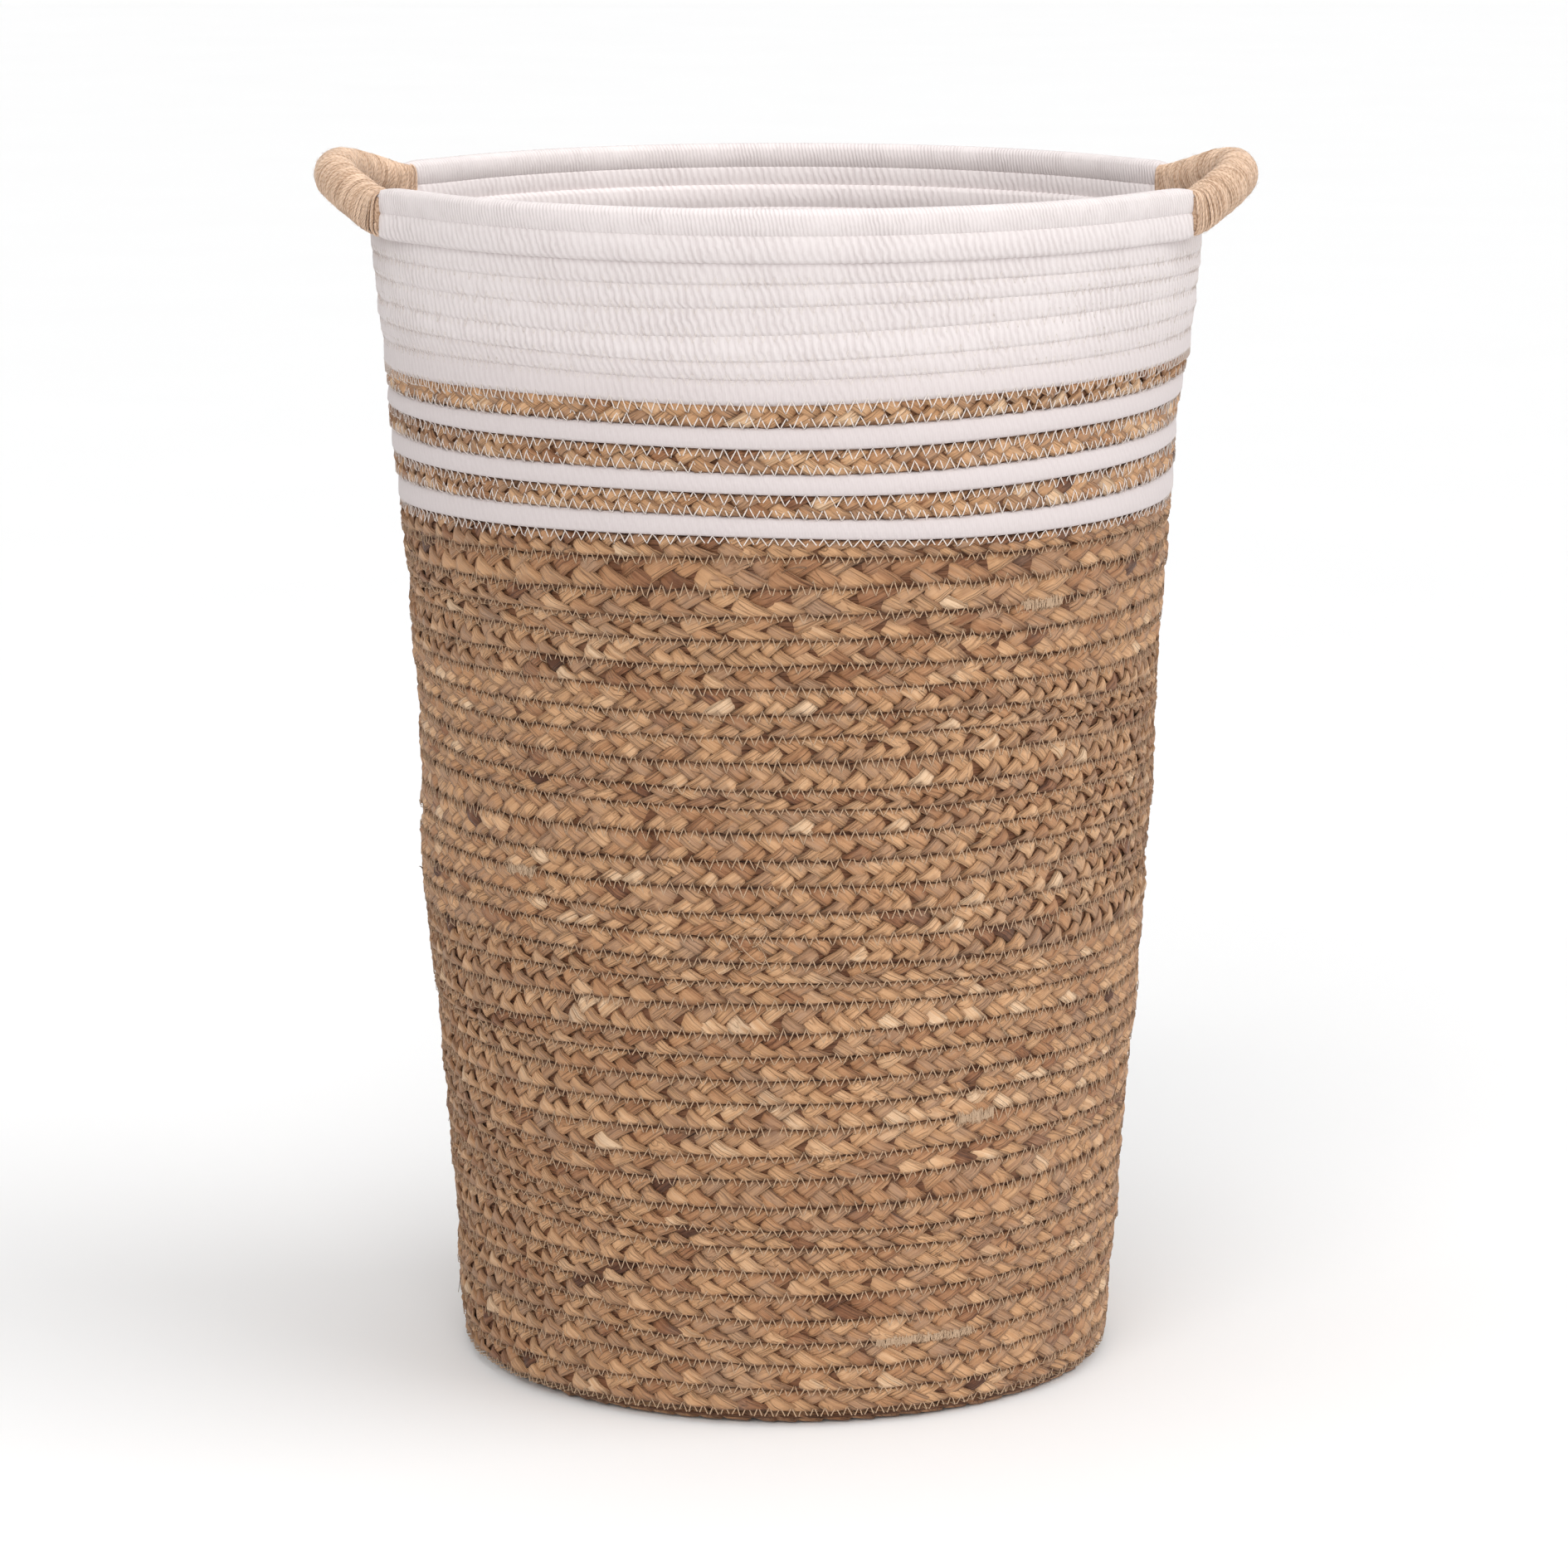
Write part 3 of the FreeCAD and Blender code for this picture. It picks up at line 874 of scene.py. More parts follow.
def course_of(node, thickness):
    """Radius and height of a course's middle line, and the height of the course."""
    low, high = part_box(node)
    return high.x - thickness / 2, (low.z + high.z) / 2, high.z - low.z


def ring_path(radius, height, count):
    """Points round a level circle, and the ways up and out of it."""
    angle = TURN * np.arange(count) / count
    return polar(angle, radius, height), np.broadcast_to(UP, (count, 3)), polar(angle, 1.0, 0.0)


def plait_course(node, name, seed, lean, longer, rough, tint):
    """One wall course of plait, inside the box of the node that it stands for.

    longer is its period as a share of the usual one.
    """
    settings = bpy.context.scene.basket_plait
    radius, height, width = course_of(node, settings.thickness)
    period = settings.period * longer
    periods = round(TURN * radius / period)
    path = ring_path(radius, height, periods * settings.steps)
    surface = Surface("tone", "crease")
    plait(surface, np.random.default_rng(seed), path, width, period, True, lean, rough, tint=tint)
    surface.settle()
    surface.install(name, "dry_hyacinth", [node])


# The base's end tucks in over this part of its last turn, by this much.
TUCK_PART = 0.12
TUCK_DEPTH = 0.007


def spiral_path(inner, outer, turns, height, spacing):
    """Points a spacing apart on a flat spiral, and the ways out from its middle and up.

    Its radius grows evenly with its angle, and drops as a square near the end to tuck it in, which is
    at the back.
    """

    def radius_at(angle):
        tuck = np.clip((angle - TURN * (turns - TUCK_PART)) / (TURN * TUCK_PART), 0, 1)
        return inner + (outer - inner) * angle / (TURN * turns) - TUCK_DEPTH * tuck ** 2

    angle = np.linspace(0, TURN * turns, 4000)
    travelled = lengths(polar(angle, radius_at(angle), height), closed=False)
    angle = np.interp(np.arange(0, travelled[-1], spacing), travelled, angle)
    turned = angle + TURN * (0.25 - turns)
    line = polar(turned, radius_at(angle), height)
    return line, polar(turned, 1.0, 0.0), np.broadcast_to(UP, line.shape)


def wound_base():
    """The base: one plait wound flat in a spiral, from the middle to under the lowest course."""
    settings = bpy.context.scene.basket_plait
    low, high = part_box("base_braid")
    _, _, width = course_of("wall_braid_01", settings.thickness)
    inner = width * 0.45
    outer = high.x - width / 2
    turns = (outer - inner) / width
    path = spiral_path(inner, outer, turns, (low.z + high.z) / 2, settings.period / settings.steps)
    whole = len(path[0]) // settings.steps * settings.steps
    path = [rows[:whole] for rows in path]
    surface = Surface("tone", "crease")
    squeeze = (high.z - low.z) / settings.thickness * 0.97
    plait(surface, np.random.default_rng(400), path, width, settings.period, False, 1, 0.8, squeeze)
    surface.install("wound_base", "dry_hyacinth", ["base_braid"])


# ---------------------------------------------------------------- ropes


ROPE_POINTS = 14
# Length that stands for once round a rope's section in the UV map, and the ribs that a rib's lean
# carries it past in that turn. A whole number lets the ribs meet behind the rope.
ROPE_GIRTH = 0.034
RIB_LEAN = -3
RIB_STEPS = 4
# Height of a sewn rope as a share of its course: ropes press into each other where they meet.
ROPE_SQUEEZE = 1.36
STRIPE_SQUEEZE = 1.02
# An open rope narrows by this share of itself over this length at each end, under the wrapping.
END_NARROWING = 0.3
END_LENGTH = 0.014


def rope(surface, path, height, closed, ribbed, fineness=1, squareness=0.5):
    """A braided rope along a path's middle line, with the ways across it and out of it.

    ribbed is how clearly its ribs show, and fineness how many of the cotton's ribs fit in the usual
    pitch. Its section is an oval flattened where it meets its neighbours. Leaning ribs ride on it: the
    section shrinks by the cosine of the distance along over the rib pitch, plus the lean's share of the
    angle round the section. They are shallower by the fineness.
    """
    settings = bpy.context.scene.basket_rope
    line, side, face = path
    across, out = oval(ROPE_POINTS, height / 2, settings.thickness / 2, squareness)
    share = (np.arange(ROPE_POINTS) + 0.5) / ROPE_POINTS
    distance = lengths(line, closed)
    total = distance[-1]
    place = distance / total * round(total / settings.rib_pitch)
    ripple = -np.cos(TURN * (place[:len(line), None] + RIB_LEAN * share))
    swell = 1 + settings.rib_depth * ripple * ribbed / fineness / (settings.thickness / 2)
    if not closed:
        from_end = np.clip(np.minimum(distance, total - distance) / END_LENGTH, 0, 1)
        swell = swell * (1 - END_NARROWING * (1 - from_end) ** 2)[:, None]
    rings = sweep(line, side, face, swell * across, swell * out)
    along = place * settings.rib_pitch * fineness
    girth = (np.arange(ROPE_POINTS + 1) + 0.5) / ROPE_POINTS * ROPE_GIRTH
    surface.tube(rings, closed, along, girth, ribbed=np.full(len(line), ribbed))


def rope_course(node, name, ribbed, squeeze):
    """One whole course of rope."""
    settings = bpy.context.scene.basket_rope
    radius, middle, height = course_of(node, settings.thickness)
    ribs = round(TURN * radius / settings.rib_pitch)
    surface = Surface("ribbed")
    rope(surface, ring_path(radius, middle, ribs * RIB_STEPS), height * squeeze, True, ribbed)
    surface.settle()
    surface.install(name, "braided_cotton", [node])


def even_points(line, spacing):
    """The same line with points an even distance apart."""
    travelled = lengths(line, closed=False)
    count = max(2, round(travelled[-1] / spacing))
    marks = np.linspace(0, travelled[-1], count)
    return np.stack([np.interp(marks, travelled, line[:, axis]) for axis in range(3)], axis=1)


def swing_out(half_span):
    """The rim rope's level curve beside a handle, from where it leaves the circle to the hinge line.

    Its direction turns evenly, from the rim's tangent to the handle's end angle, so it is an arc of
    radius travel / (sin end - sin leave), where travel is how far it goes along Y.
    """
    ropes = bpy.context.scene.basket_rope
    leave = ropes.leaves_at
    end = bpy.context.scene.basket_handle.end_angle
    travel = ropes.rim_radius * math.sin(leave) - half_span
    radius = travel / (math.sin(end) - math.sin(leave))
    angle = np.linspace(leave, end, 24)
    x = ropes.rim_radius * math.cos(leave) + radius * (math.cos(leave) - np.cos(angle))
    y = -ropes.rim_radius * math.sin(leave) + radius * (np.sin(angle) - math.sin(leave))
    return x, y


# The upper rim rope isn't sewn down, so it's rounder and its ribs are finer.
RIM_LOOK = {"lower": {}, "upper": {"fineness": 2, "squareness": 0.68}}


def rim_rope(row, end):
    """A front or back length of a rim rope: an arc of the rim with an outward swing at each end."""
    ropes = bpy.context.scene.basket_rope
    node = f"rim_rope_{row}_{end}"
    low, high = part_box(node)
    x, y = swing_out(-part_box(f"rim_rope_{row}_front")[1].y)
    arc = np.linspace(math.pi + ropes.leaves_at, TURN - ropes.leaves_at, 400)[1:-1]
    line_x = np.concatenate([-x[::-1], ropes.rim_radius * np.cos(arc), x])
    line_y = np.concatenate([y[::-1], ropes.rim_radius * np.sin(arc), y])
    line = np.stack([line_x, line_y, np.full(len(line_x), (low.z + high.z) / 2)], axis=1)
    line = even_points(line, ropes.rib_pitch / RIB_STEPS)
    if end == "back":
        line[:, :2] *= -1
    up = np.broadcast_to(UP, line.shape)
    path = line, up, np.cross(slopes(line, closed=False), up)
    surface = Surface("ribbed")
    rope(surface, path, ropes.height * ROPE_SQUEEZE, False, 1.0, **RIM_LOOK[row])
    surface.install(f"rope_rim_{row}_{end}", "braided_cotton", [node])


# ---------------------------------------------------------------- handles


# Spacing of points on a handle's line, and how the wrapping slims down on to the two ropes at its ends.
HANDLE_STEP = 0.0008
TAPER_LENGTH = 0.028
TAPER_SIDE = 0.0026
TAPER_RISE = 0.0003
TAPER_SQUARE = 0.45
# How far the wrapping's line runs on along the rim ropes, and the points its corners are eased over.
OVERRUN = 0.005
EASING = 9
# Where the wrapping has turned fully from the basket to the handle: out from the hinge, and up from it.
BEND_OUT = 0.017
BEND_UP = 0.009


def joint_of(side):
    """The record's joint for a handle."""
    return next(j for j in frame["joints"] if j["name"] == f"handle_{side}_flex")


def handle_path(side):
    """A handle's middle line, and the way out of its bend and the way up through it.

    The middle is an arc in a plane that leans up and out, from one end on the hinge line to the
    other. It goes on for a few millimetres along each rim rope, and the corner there is eased by
    averaging neighbouring points.
    """
    settings = bpy.context.scene.basket_handle
    end_x, _, end_z = joint_of(side)["pos_m"]
    half_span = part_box(f"handle_{side}_wrap")[1].y
    radius = half_span / math.sin(settings.end_angle)
    angle = np.linspace(-settings.end_angle, settings.end_angle, 160)
    reach = radius * np.cos(angle) - radius * math.cos(settings.end_angle)
    arc = np.stack([
        abs(end_x) + reach * math.cos(settings.tilt),
        radius * np.sin(angle),
        end_z + reach * math.sin(settings.tilt)], axis=1)
    x, y = swing_out(half_span)
    near = y > -half_span - OVERRUN
    lead = np.stack([x[near], y[near], np.full(near.sum(), end_z)], axis=1)[:-1]
    line = even_points(np.concatenate([lead, arc, lead[::-1] * (1, -1, 1)]), HANDLE_STEP)
    padded = np.pad(line, ((EASING, EASING), (0, 0)), mode="reflect", reflect_type="odd")
    kernel = np.hanning(2 * EASING + 3)[1:-1]
    kernel /= kernel.sum()
    line = np.stack([np.convolve(padded[:, axis], kernel, "valid") for axis in range(3)], axis=1)
    ahead = slopes(line, closed=False)
    rise = np.array([-math.sin(settings.tilt), 0.0, math.cos(settings.tilt)])
    share = np.clip((half_span + 0.004 - np.abs(line[:, 1])) / 0.03, 0, 1)[:, None]
    up = unit(share * rise + (1 - share) * UP)
    up = unit(up - ahead * (up * ahead).sum(axis=1, keepdims=True))
    turn = np.array([SIDES[side], SIDES[side], 1.0])
    return line * turn, np.cross(ahead, up) * turn, up * turn


def wrap_points(path, place, angle, lift):
    """Points lift above the wrapping's surface, at places along the path's points and angles round it.

    The section is an oval, wide·|cos a|^square out and high·|sin a|^square up with their signs. Near
    each end it eases to a slimmer, squarer one.
    """
    settings = bpy.context.scene.basket_handle
    steps = np.arange(len(path[0]))

    def sample(rows):
        return np.stack([np.interp(place, steps, rows[:, axis]) for axis in range(3)], axis=-1)

    middle, out, up = (sample(rows) for rows in path)
    from_end = np.minimum(place, steps[-1] - place) * HANDLE_STEP
    full = np.clip(from_end / TAPER_LENGTH, 0, 1)
    end = 1 - full * full * (3 - 2 * full)
    square = 1 - TAPER_SQUARE * end
    across, rise = np.cos(angle), np.sin(angle)
    wide = (settings.half_width - TAPER_SIDE * end + lift) * np.sign(across) * np.abs(across) ** square
    tall = (settings.half_height + TAPER_RISE * end + lift) * np.sign(rise) * np.abs(rise) ** square
    return middle + unit(out) * wide[..., None] + unit(up) * tall[..., None]


CORE_POINTS = 20
YARN_CORNERS = 6
STEPS_PER_TURN = 30


def wrapped_handle(side):
    """A handle: jute yarn wound closely over the two ropes, on a soft inner tube of dark jute that paints the
    shade in the gaps between turns.

    The yarn is a helix on the handle's oval. Its angle grows evenly, its place along the handle grows
    by the yarn pitch a turn, and both wander a little, so turns cross and gather as wound twine does.
    """
    settings = bpy.context.scene.basket_handle
    yarn = settings.yarn_radius
    rng = np.random.default_rng(700 + SIDES[side])
    path = handle_path(side)
    distance = lengths(path[0], closed=False)
    total = distance[-1]
    surface = Surface("tone")

    # Painted shade: a dark inner tube, seen in the gaps between the yarn's turns.
    round_core = TURN * np.arange(CORE_POINTS) / CORE_POINTS
    place, angle = np.meshgrid(np.arange(0, len(distance), 3), round_core, indexing="ij")
    girth = np.linspace(0, TURN * settings.half_width, CORE_POINTS + 1)
    surface.tube(wrap_points(path, place, angle, -1.6 * yarn), False, distance[::3], girth,
                 tone=np.full(len(place), 0.1))

    turns = round(total / settings.yarn_pitch)
    count = turns * STEPS_PER_TURN
    angle = TURN * np.arange(count) / STEPS_PER_TURN
    share = np.linspace(0.004, 0.996, count)
    drift = 0.00022 * wander(rng, turns * 3, count, False) + 0.0008 * np.sin(angle)
    drift = drift * np.clip(np.minimum(share, 1 - share) / 0.02, 0, 1)
    place = np.interp(np.clip(share * total + drift, 0, total), distance, np.arange(len(distance)))
    lift = -0.3 * yarn + 0.00020 * wander(rng, turns * 3, count, False)
    line = wrap_points(path, place, angle, lift)
    out = unit(wrap_points(path, place, angle, lift + 0.002) - line)
    size = yarn * (1 + 0.14 * wander(rng, turns * 5, count, False))[:, None]
    wide, thick = oval(YARN_CORNERS, 1.0, 1.0, 1.0)
    rings = sweep(line, np.cross(slopes(line, closed=False), out), out, size * wide, size * thick)
    tone = np.clip(0.5 + 0.28 * wander(rng, turns * 4, count, False), 0, 1)
    surface.tube(rings, False, lengths(line, False), np.linspace(0, TURN * yarn, YARN_CORNERS + 1), tone=tone)

    loose_fibres(surface, rng, path, settings.loose_fibres)
    piece = surface.build(f"handle_wrapping_{side}", "jute_yarn")
    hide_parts(f"handle_{side}_wrap", f"handle_{side}_rope_upper", f"handle_{side}_rope_lower")
    x, _, z = joint_of(side)["pos_m"]
    x + SIDES[side] * BEND_OUT
    z + BEND_UP
    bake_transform(piece)


def loose_fibres(surface, rng, path, count):
    """Stray fibres: each leaves the wrapping along the yarn, then curls away from it.

    With s from 0 to 1 along the fibre, it sweeps round the handle by sweep·s, strays along it by
    stray·s, and stands off by lift·s².
    """
    steps = 6
    s = np.linspace(0, 1, steps)[None, :]
    last = len(path[0]) - 1
    start = rng.uniform(4, last - 4, count)[:, None]
    angle = rng.uniform(0, TURN, count)[:, None]
    sweep_round = rng.uniform(0.2, 0.7, count)[:, None] * rng.choice((-1, 1), count)[:, None]
    stray = rng.normal(0, 4.5, count)[:, None]
    lift = rng.uniform(0.0003, 0.0016, count)[:, None]
    place = np.clip(start + stray * s, 0, last)
    line = wrap_points(path, place, angle + sweep_round * s, 0.0001 + lift * s * s)
    ahead = slopes(line, closed=False)
    first = unit(np.cross(ahead, np.array([0.3, 0.5, 0.8])))
    corner = TURN * np.arange(3) / 3
    radius = (0.00007 * (1 - 0.5 * s))[..., None]
    rings = sweep(line, first, np.cross(ahead, first), np.cos(corner) * radius, np.sin(corner) * radius)
    along = np.broadcast_to(np.linspace(0, 0.008, steps + 1), (count, steps + 1))
    tone = np.broadcast_to(rng.uniform(0.5, 1.0, count)[:, None], (count, steps))
    surface.tubes(rings, False, along, np.linspace(0, 0.001, 4), tone=tone)


# ---------------------------------------------------------------- stitching


class WallMap:
    """Outer radius of the finished wall by angle and height, read from the courses' own points."""

    ANGLES = 1440
    CELL = 0.0008

    def __init__(self, pieces):
        rows = int(CAD_BOX[1][2] / self.CELL) + 8
        self.grid = np.zeros((rows, self.ANGLES))
        for piece in pieces:
            self.add(piece.data)
        for _ in range(2):
            spread = np.maximum.reduce([
                np.roll(self.grid, (dz, da), axis=(0, 1)) for dz in (-1, 0, 1) for da in (-1, 0, 1)])
            self.grid = np.where(self.grid <= 0, spread, self.grid)

    def cells(self, points):
        """Row and column of the cell that each point is in."""
        angle = np.arctan2(points[..., 1], points[..., 0])
        column = np.round(angle / TURN * self.ANGLES).astype(int) % self.ANGLES
        row = np.clip((points[..., 2] / self.CELL).round().astype(int), 0, len(self.grid) - 1)
        return row, column

    def add(self, mesh):
        """Sample each face at a few places between its corners, and keep the furthest out per cell."""
        points = np.zeros(len(mesh.vertices) * 3, np.float32)
        mesh.vertices.foreach_get("co", points)
        points = points.reshape(-1, 3)
        sizes = np.zeros(len(mesh.polygons), np.int32)
        mesh.polygons.foreach_get("loop_total", sizes)
        loops = np.zeros(len(mesh.loops), np.int32)
        mesh.loops.foreach_get("vertex_index", loops)
        if (sizes == 4).all():
            corner = points[loops.reshape(-1, 4)]
        else:
            corner = points[:, None].repeat(4, axis=1)
        for u in (0.0, 0.25, 0.5, 0.75):
            for v in (0.0, 0.34, 0.67):
                edge = corner[:, 0] * (1 - u) + corner[:, 1] * u
                other = corner[:, 3] * (1 - u) + corner[:, 2] * u
                place = edge * (1 - v) + other * v
                np.maximum.at(self.grid, self.cells(place), np.hypot(place[:, 0], place[:, 1]))

    def radius(self, points):
        return self.grid[self.cells(points)]


def lay(line, radius):
    """Move a line's points straight out or in, to a radius each."""
    line[..., :2] *= (radius / np.hypot(line[..., 0], line[..., 1]))[..., None]


def off_wall(line, closed):
    """The ways beside a line that lies on the wall, and out from the wall square to it."""
    ahead = slopes(line, closed)
    out = line * (1, 1, 0)
    out = unit(out - ahead * (out * ahead).sum(axis=-1, keepdims=True))
    return np.cross(ahead, out), out


def thread(surface, line, closed, radius):
    """A three-cornered thread along a line on the wall."""
    corner = TURN * (np.arange(3) + 0.25) / 3
    rings = sweep(line, *off_wall(line, closed), radius * np.cos(corner), radius * np.sin(corner))
    surface.tube(rings, closed, lengths(line, closed), np.linspace(0, TURN * radius, 4))


# Where along a stitch's leg, from one hole to the next, its thread has points.
LEG_PARTS = (0.0, 0.25, 0.75)
# How deep a stitch presses into the highest leaf that it crosses, and into soft rope.
STITCH_PRESS = 0.00015
ROPE_PRESS = 0.0012


def zigzag(surface, wall, rng, seam, reach, pitch, girth, span=(0.0, TURN), press=STITCH_PRESS):
    """One line of zigzag stitching along a seam, whose height and radius are given.

    The needle goes down alternately above and below the seam, as far as the two numbers of reach. A leg
    of thread runs straight from one hole to the next over the wall's surface, and dips into it at each
    hole. girth is the thread's radius, and span the first and last angle.
    """
    seam_height, radius = seam
    above, below = reach
    first, last = span
    whole = last - first >= TURN - 1e-6
    legs = 2 * max(2, round((last - first) * radius / pitch))
    parts = len(LEG_PARTS)
    hole = np.arange(legs + 1)
    jitter = rng.normal(0, 0.05 * pitch / radius, legs + 1)
    step = np.where(hole % 2, above, -below) * (1 + rng.normal(0, 0.07, legs + 1))
    if whole:
        jitter[-1] = jitter[0]
        step[-1] = step[0]
    hole_angle = first + (last - first) * hole / legs + jitter
    share = np.tile(LEG_PARTS, legs)
    leg = np.repeat(np.arange(legs), parts)
    angle = hole_angle[leg] * (1 - share) + hole_angle[leg + 1] * share
    height = seam_height + step[leg] * (1 - share) + step[leg + 1] * share
    line = settle(polar(angle, radius, height))
    lift = np.where(share == 0, -0.3 * girth, 0.8 * girth) * (press == STITCH_PRESS)
    outer = (wall.radius(line) + lift).reshape(-1, parts)
    ends = np.stack([line[::parts], np.roll(line[::parts], -1, axis=0)], axis=1)
    if not whole:
        ends[-1, 1] = ends[-1, 0]
    mix = np.linspace(0.15, 0.85, 8)[None, :, None]
    crest = wall.radius(ends[:, :1] * (1 - mix) + ends[:, 1:] * mix).max(axis=1)
    outer[:, 1:] = np.maximum(outer[:, 1:], crest[:, None] - press)
    lay(line, outer.reshape(-1))
    thread(surface, line, whole, girth)


def seam_below(node):
    """Height and radius of the seam under a course."""
    low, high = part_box(node)
    return low.z, high.x


def stitched_wall(wall):
    """Beige zigzags over the plait wall's seams, in three lengths of twelve seams, one above another."""
    sewn = bpy.context.scene.basket_thread
    per_piece = WALL_COURSES // 3
    for part in range(3):
        surface = Surface()
        for number in range(part * per_piece + 1, (part + 1) * per_piece + 1):
            zigzag(surface, wall, np.random.default_rng(800 + number), seam_below(f"wall_braid_{number:02d}"),
                   (sewn.above, sewn.below), sewn.pitch, sewn.radius)
        surface.install(f"stitching_wall_{part + 1}", "beige_thread", smooth=False)


# Places where the seam was sewn over again: the course above it, first angle and length.
BACK_TACKS = (
    (4, math.radians(-75), 0.050),
    (23, math.radians(-138), 0.018),
    (13, math.radians(-62), 0.022),
    (34, math.radians(-54), 0.024),
    (29, math.radians(35), 0.030),
    (18, math.radians(120), 0.026),
    (8, math.radians(165), 0.034),
    (26, math.radians(80), 0.022),
)
# Angle between the starts of a place's three layers of stitches.
TACK_SHIFT = 0.004


def back_tacks(wall):
    """Short dense zigzags where a new thread was started."""
    sewn = bpy.context.scene.basket_thread
    surface = Surface()
    rng = np.random.default_rng(900)
    reach = sewn.above * 1.15, sewn.below * 1.05
    for number, start, length in BACK_TACKS:
        seam = seam_below(f"wall_braid_{number:02d}")
        for layer in range(3):
            first = start + layer * TACK_SHIFT
            span = first, first + length / seam[1]
            zigzag(surface, wall, rng, seam, reach, sewn.pitch / 3, sewn.radius, span)
    loose_thread(surface, wall, sewn.radius * 0.8)
    surface.install("stitching_tacks", "beige_thread", smooth=False)


# A radius of the wall, near enough to turn lengths round it into angles.
WAIST = 0.18
# Where the loose thread lies: angle and height.
TANGLE_ANGLE = math.radians(-96)
TANGLE_HEIGHT = 0.235


def loose_thread(surface, wall, radius):
    """A cut end of thread, tangled on itself against the wall: sines of unlike frequency up and across."""
    t = np.linspace(0, 1, 90)
    across = 0.009 * np.sin(TURN * 1.7 * t) * (1 - 0.3 * t) + 0.004 * np.sin(TURN * 5.3 * t)
    height = TANGLE_HEIGHT + 0.006 * np.sin(TURN * 2.6 * t + 1) + 0.003 * np.cos(TURN * 6.1 * t)
    line = settle(polar(TANGLE_ANGLE + across / WAIST, WAIST, height))
    lay(line, wall.radius(line) + 0.0007 + 0.0005 * np.sin(TURN * 4.3 * t) - 0.0012 * (t == 0))
    thread(surface, line, False, radius)


def frayed_ends(wall):
    """Torn ends of leaf, which lift off the wall and taper away.

    With s from 0 to 1 along a strip, it runs on by length·s along its heading, bends by bend·s², and
    stands off the wall by lift·s.
    """
    count = bpy.context.scene.basket_plait.frayed_ends
    rng = np.random.default_rng(960)
    s = np.linspace(0, 1, 6)[None]

    def each(values):
        return values[:, None]

    angle = each(rng.uniform(0, TURN, count))
    height = each(rng.uniform(0.012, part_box("wall_braid_36")[1].z - 0.006, count))
    run = each(rng.uniform(0.004, 0.011, count)) * s
    heading = each(rng.normal(0, 0.5, count) + math.pi * rng.integers(0, 2, count))
    bend = each(rng.normal(0, 0.003, count)) * s * s
    lift = each(rng.uniform(0.0004, 0.0026, count)) * s
    around = angle + (run * np.cos(heading) - bend * np.sin(heading)) / WAIST
    line = polar(around, WAIST, height + run * np.sin(heading) + bend * np.cos(heading))
    lay(line, wall.radius(line).max(axis=1, keepdims=True) - 0.0005 + lift)
    wide, thick = oval(4, 1.0, 0.00018, 1.0)
    half = each(rng.uniform(0.0004, 0.0011, count)) * (1 - 0.8 * s)
    rings = sweep(line, *off_wall(line, False), half[..., None] * wide, thick)
    surface = Surface("tone", "crease")
    tone = np.broadcast_to(each(rng.uniform(0.1, 1.0, count)), run.shape)
    surface.tubes(rings, False, run + angle, np.linspace(0, STRAND_GIRTH, 5), tone=tone, crease=0 * tone)
    surface.install("frayed_ends", "dry_hyacinth")


# How far a white stitch reaches back on to the rope that it starts from.
BITE = 0.0006


def white_stitching(wall):
    """White zigzags: out from each side of a stripe on to the plait, and over the seams of the top."""
    sewn = bpy.context.scene.basket_thread
    surface = Surface()
    rng = np.random.default_rng(950)

    def edge(seam, reach):
        zigzag(surface, wall, rng, seam, reach, sewn.white_pitch, sewn.white_radius)

    for number in range(1, STRIPES + 1):
        low, radius = seam_below(f"stripe_rope_{number}")
        high, _ = seam_below(f"stripe_braid_{number}")
        edge((low, radius), (BITE, sewn.reach))
        edge((high, radius), (sewn.reach, BITE))
    edge(seam_below("top_rope_1"), (BITE, sewn.reach))
    surface.install("stitching_stripes", "white_thread", smooth=False)

    surface = Surface()
    for number in range(2, TOP_ROPES + 1):
        zigzag(surface, wall, rng, seam_below(f"top_rope_{number}"), (sewn.above, sewn.below),
               sewn.pitch, sewn.radius * 0.6, press=ROPE_PRESS)
    surface.install("stitching_ropes", "rope_thread", smooth=False)


# ---------------------------------------------------------------- operators


# The batches of plait sewn into the wall, from the floor up: first course, which way the plait leans,
# its period as a share of the usual one, how rough it is, and how much lighter its leaves are.
# The tints make the lowest and the top courses darker.
BATCHES = (
    (1, 1, 1.12, 1.0, -0.05),
    (7, 1, 1.0, 1.0, -0.01),
    (11, 1, 1.25, 1.1, -0.03),
    (13, 1, 1.0, 1.0, 0.0),
    (20, -1, 1.0, 1.0, 0.0),
    (31, 1, 1.0, 1.1, -0.03),
    (33, 1, 1.35, 1.3, -0.05),
    (36, 1, 1.0, 1.4, -0.09),
)
# The stripe plaits' period, roughness and tint, in the same way.
STRIPE_BATCH = (1.05, 0.6, 0.05)
STRIPE_RIBBED = 0.2


def batch_of(number):
    """Lean, period, roughness and tint of a wall course."""
    return [batch for first, *batch in BATCHES if first <= number][-1]


class BASKET_OT_base(bpy.types.Operator):
    """Wind the base from one plait"""

    bl_idname = "basket.base"
    bl_label = "Base"

    def execute(self, context):
        wound_base()
        return {"FINISHED"}


class BASKET_OT_wall(bpy.types.Operator):
    """Build the plait courses of the wall"""

    bl_idname = "basket.wall"
    bl_label = "Plait wall"

    def execute(self, context):
        for number in range(1, WALL_COURSES + 1):
            plait_course(f"wall_braid_{number:02d}", f"plait_wall_{number:02d}", number, *batch_of(number))
        return {"FINISHED"}


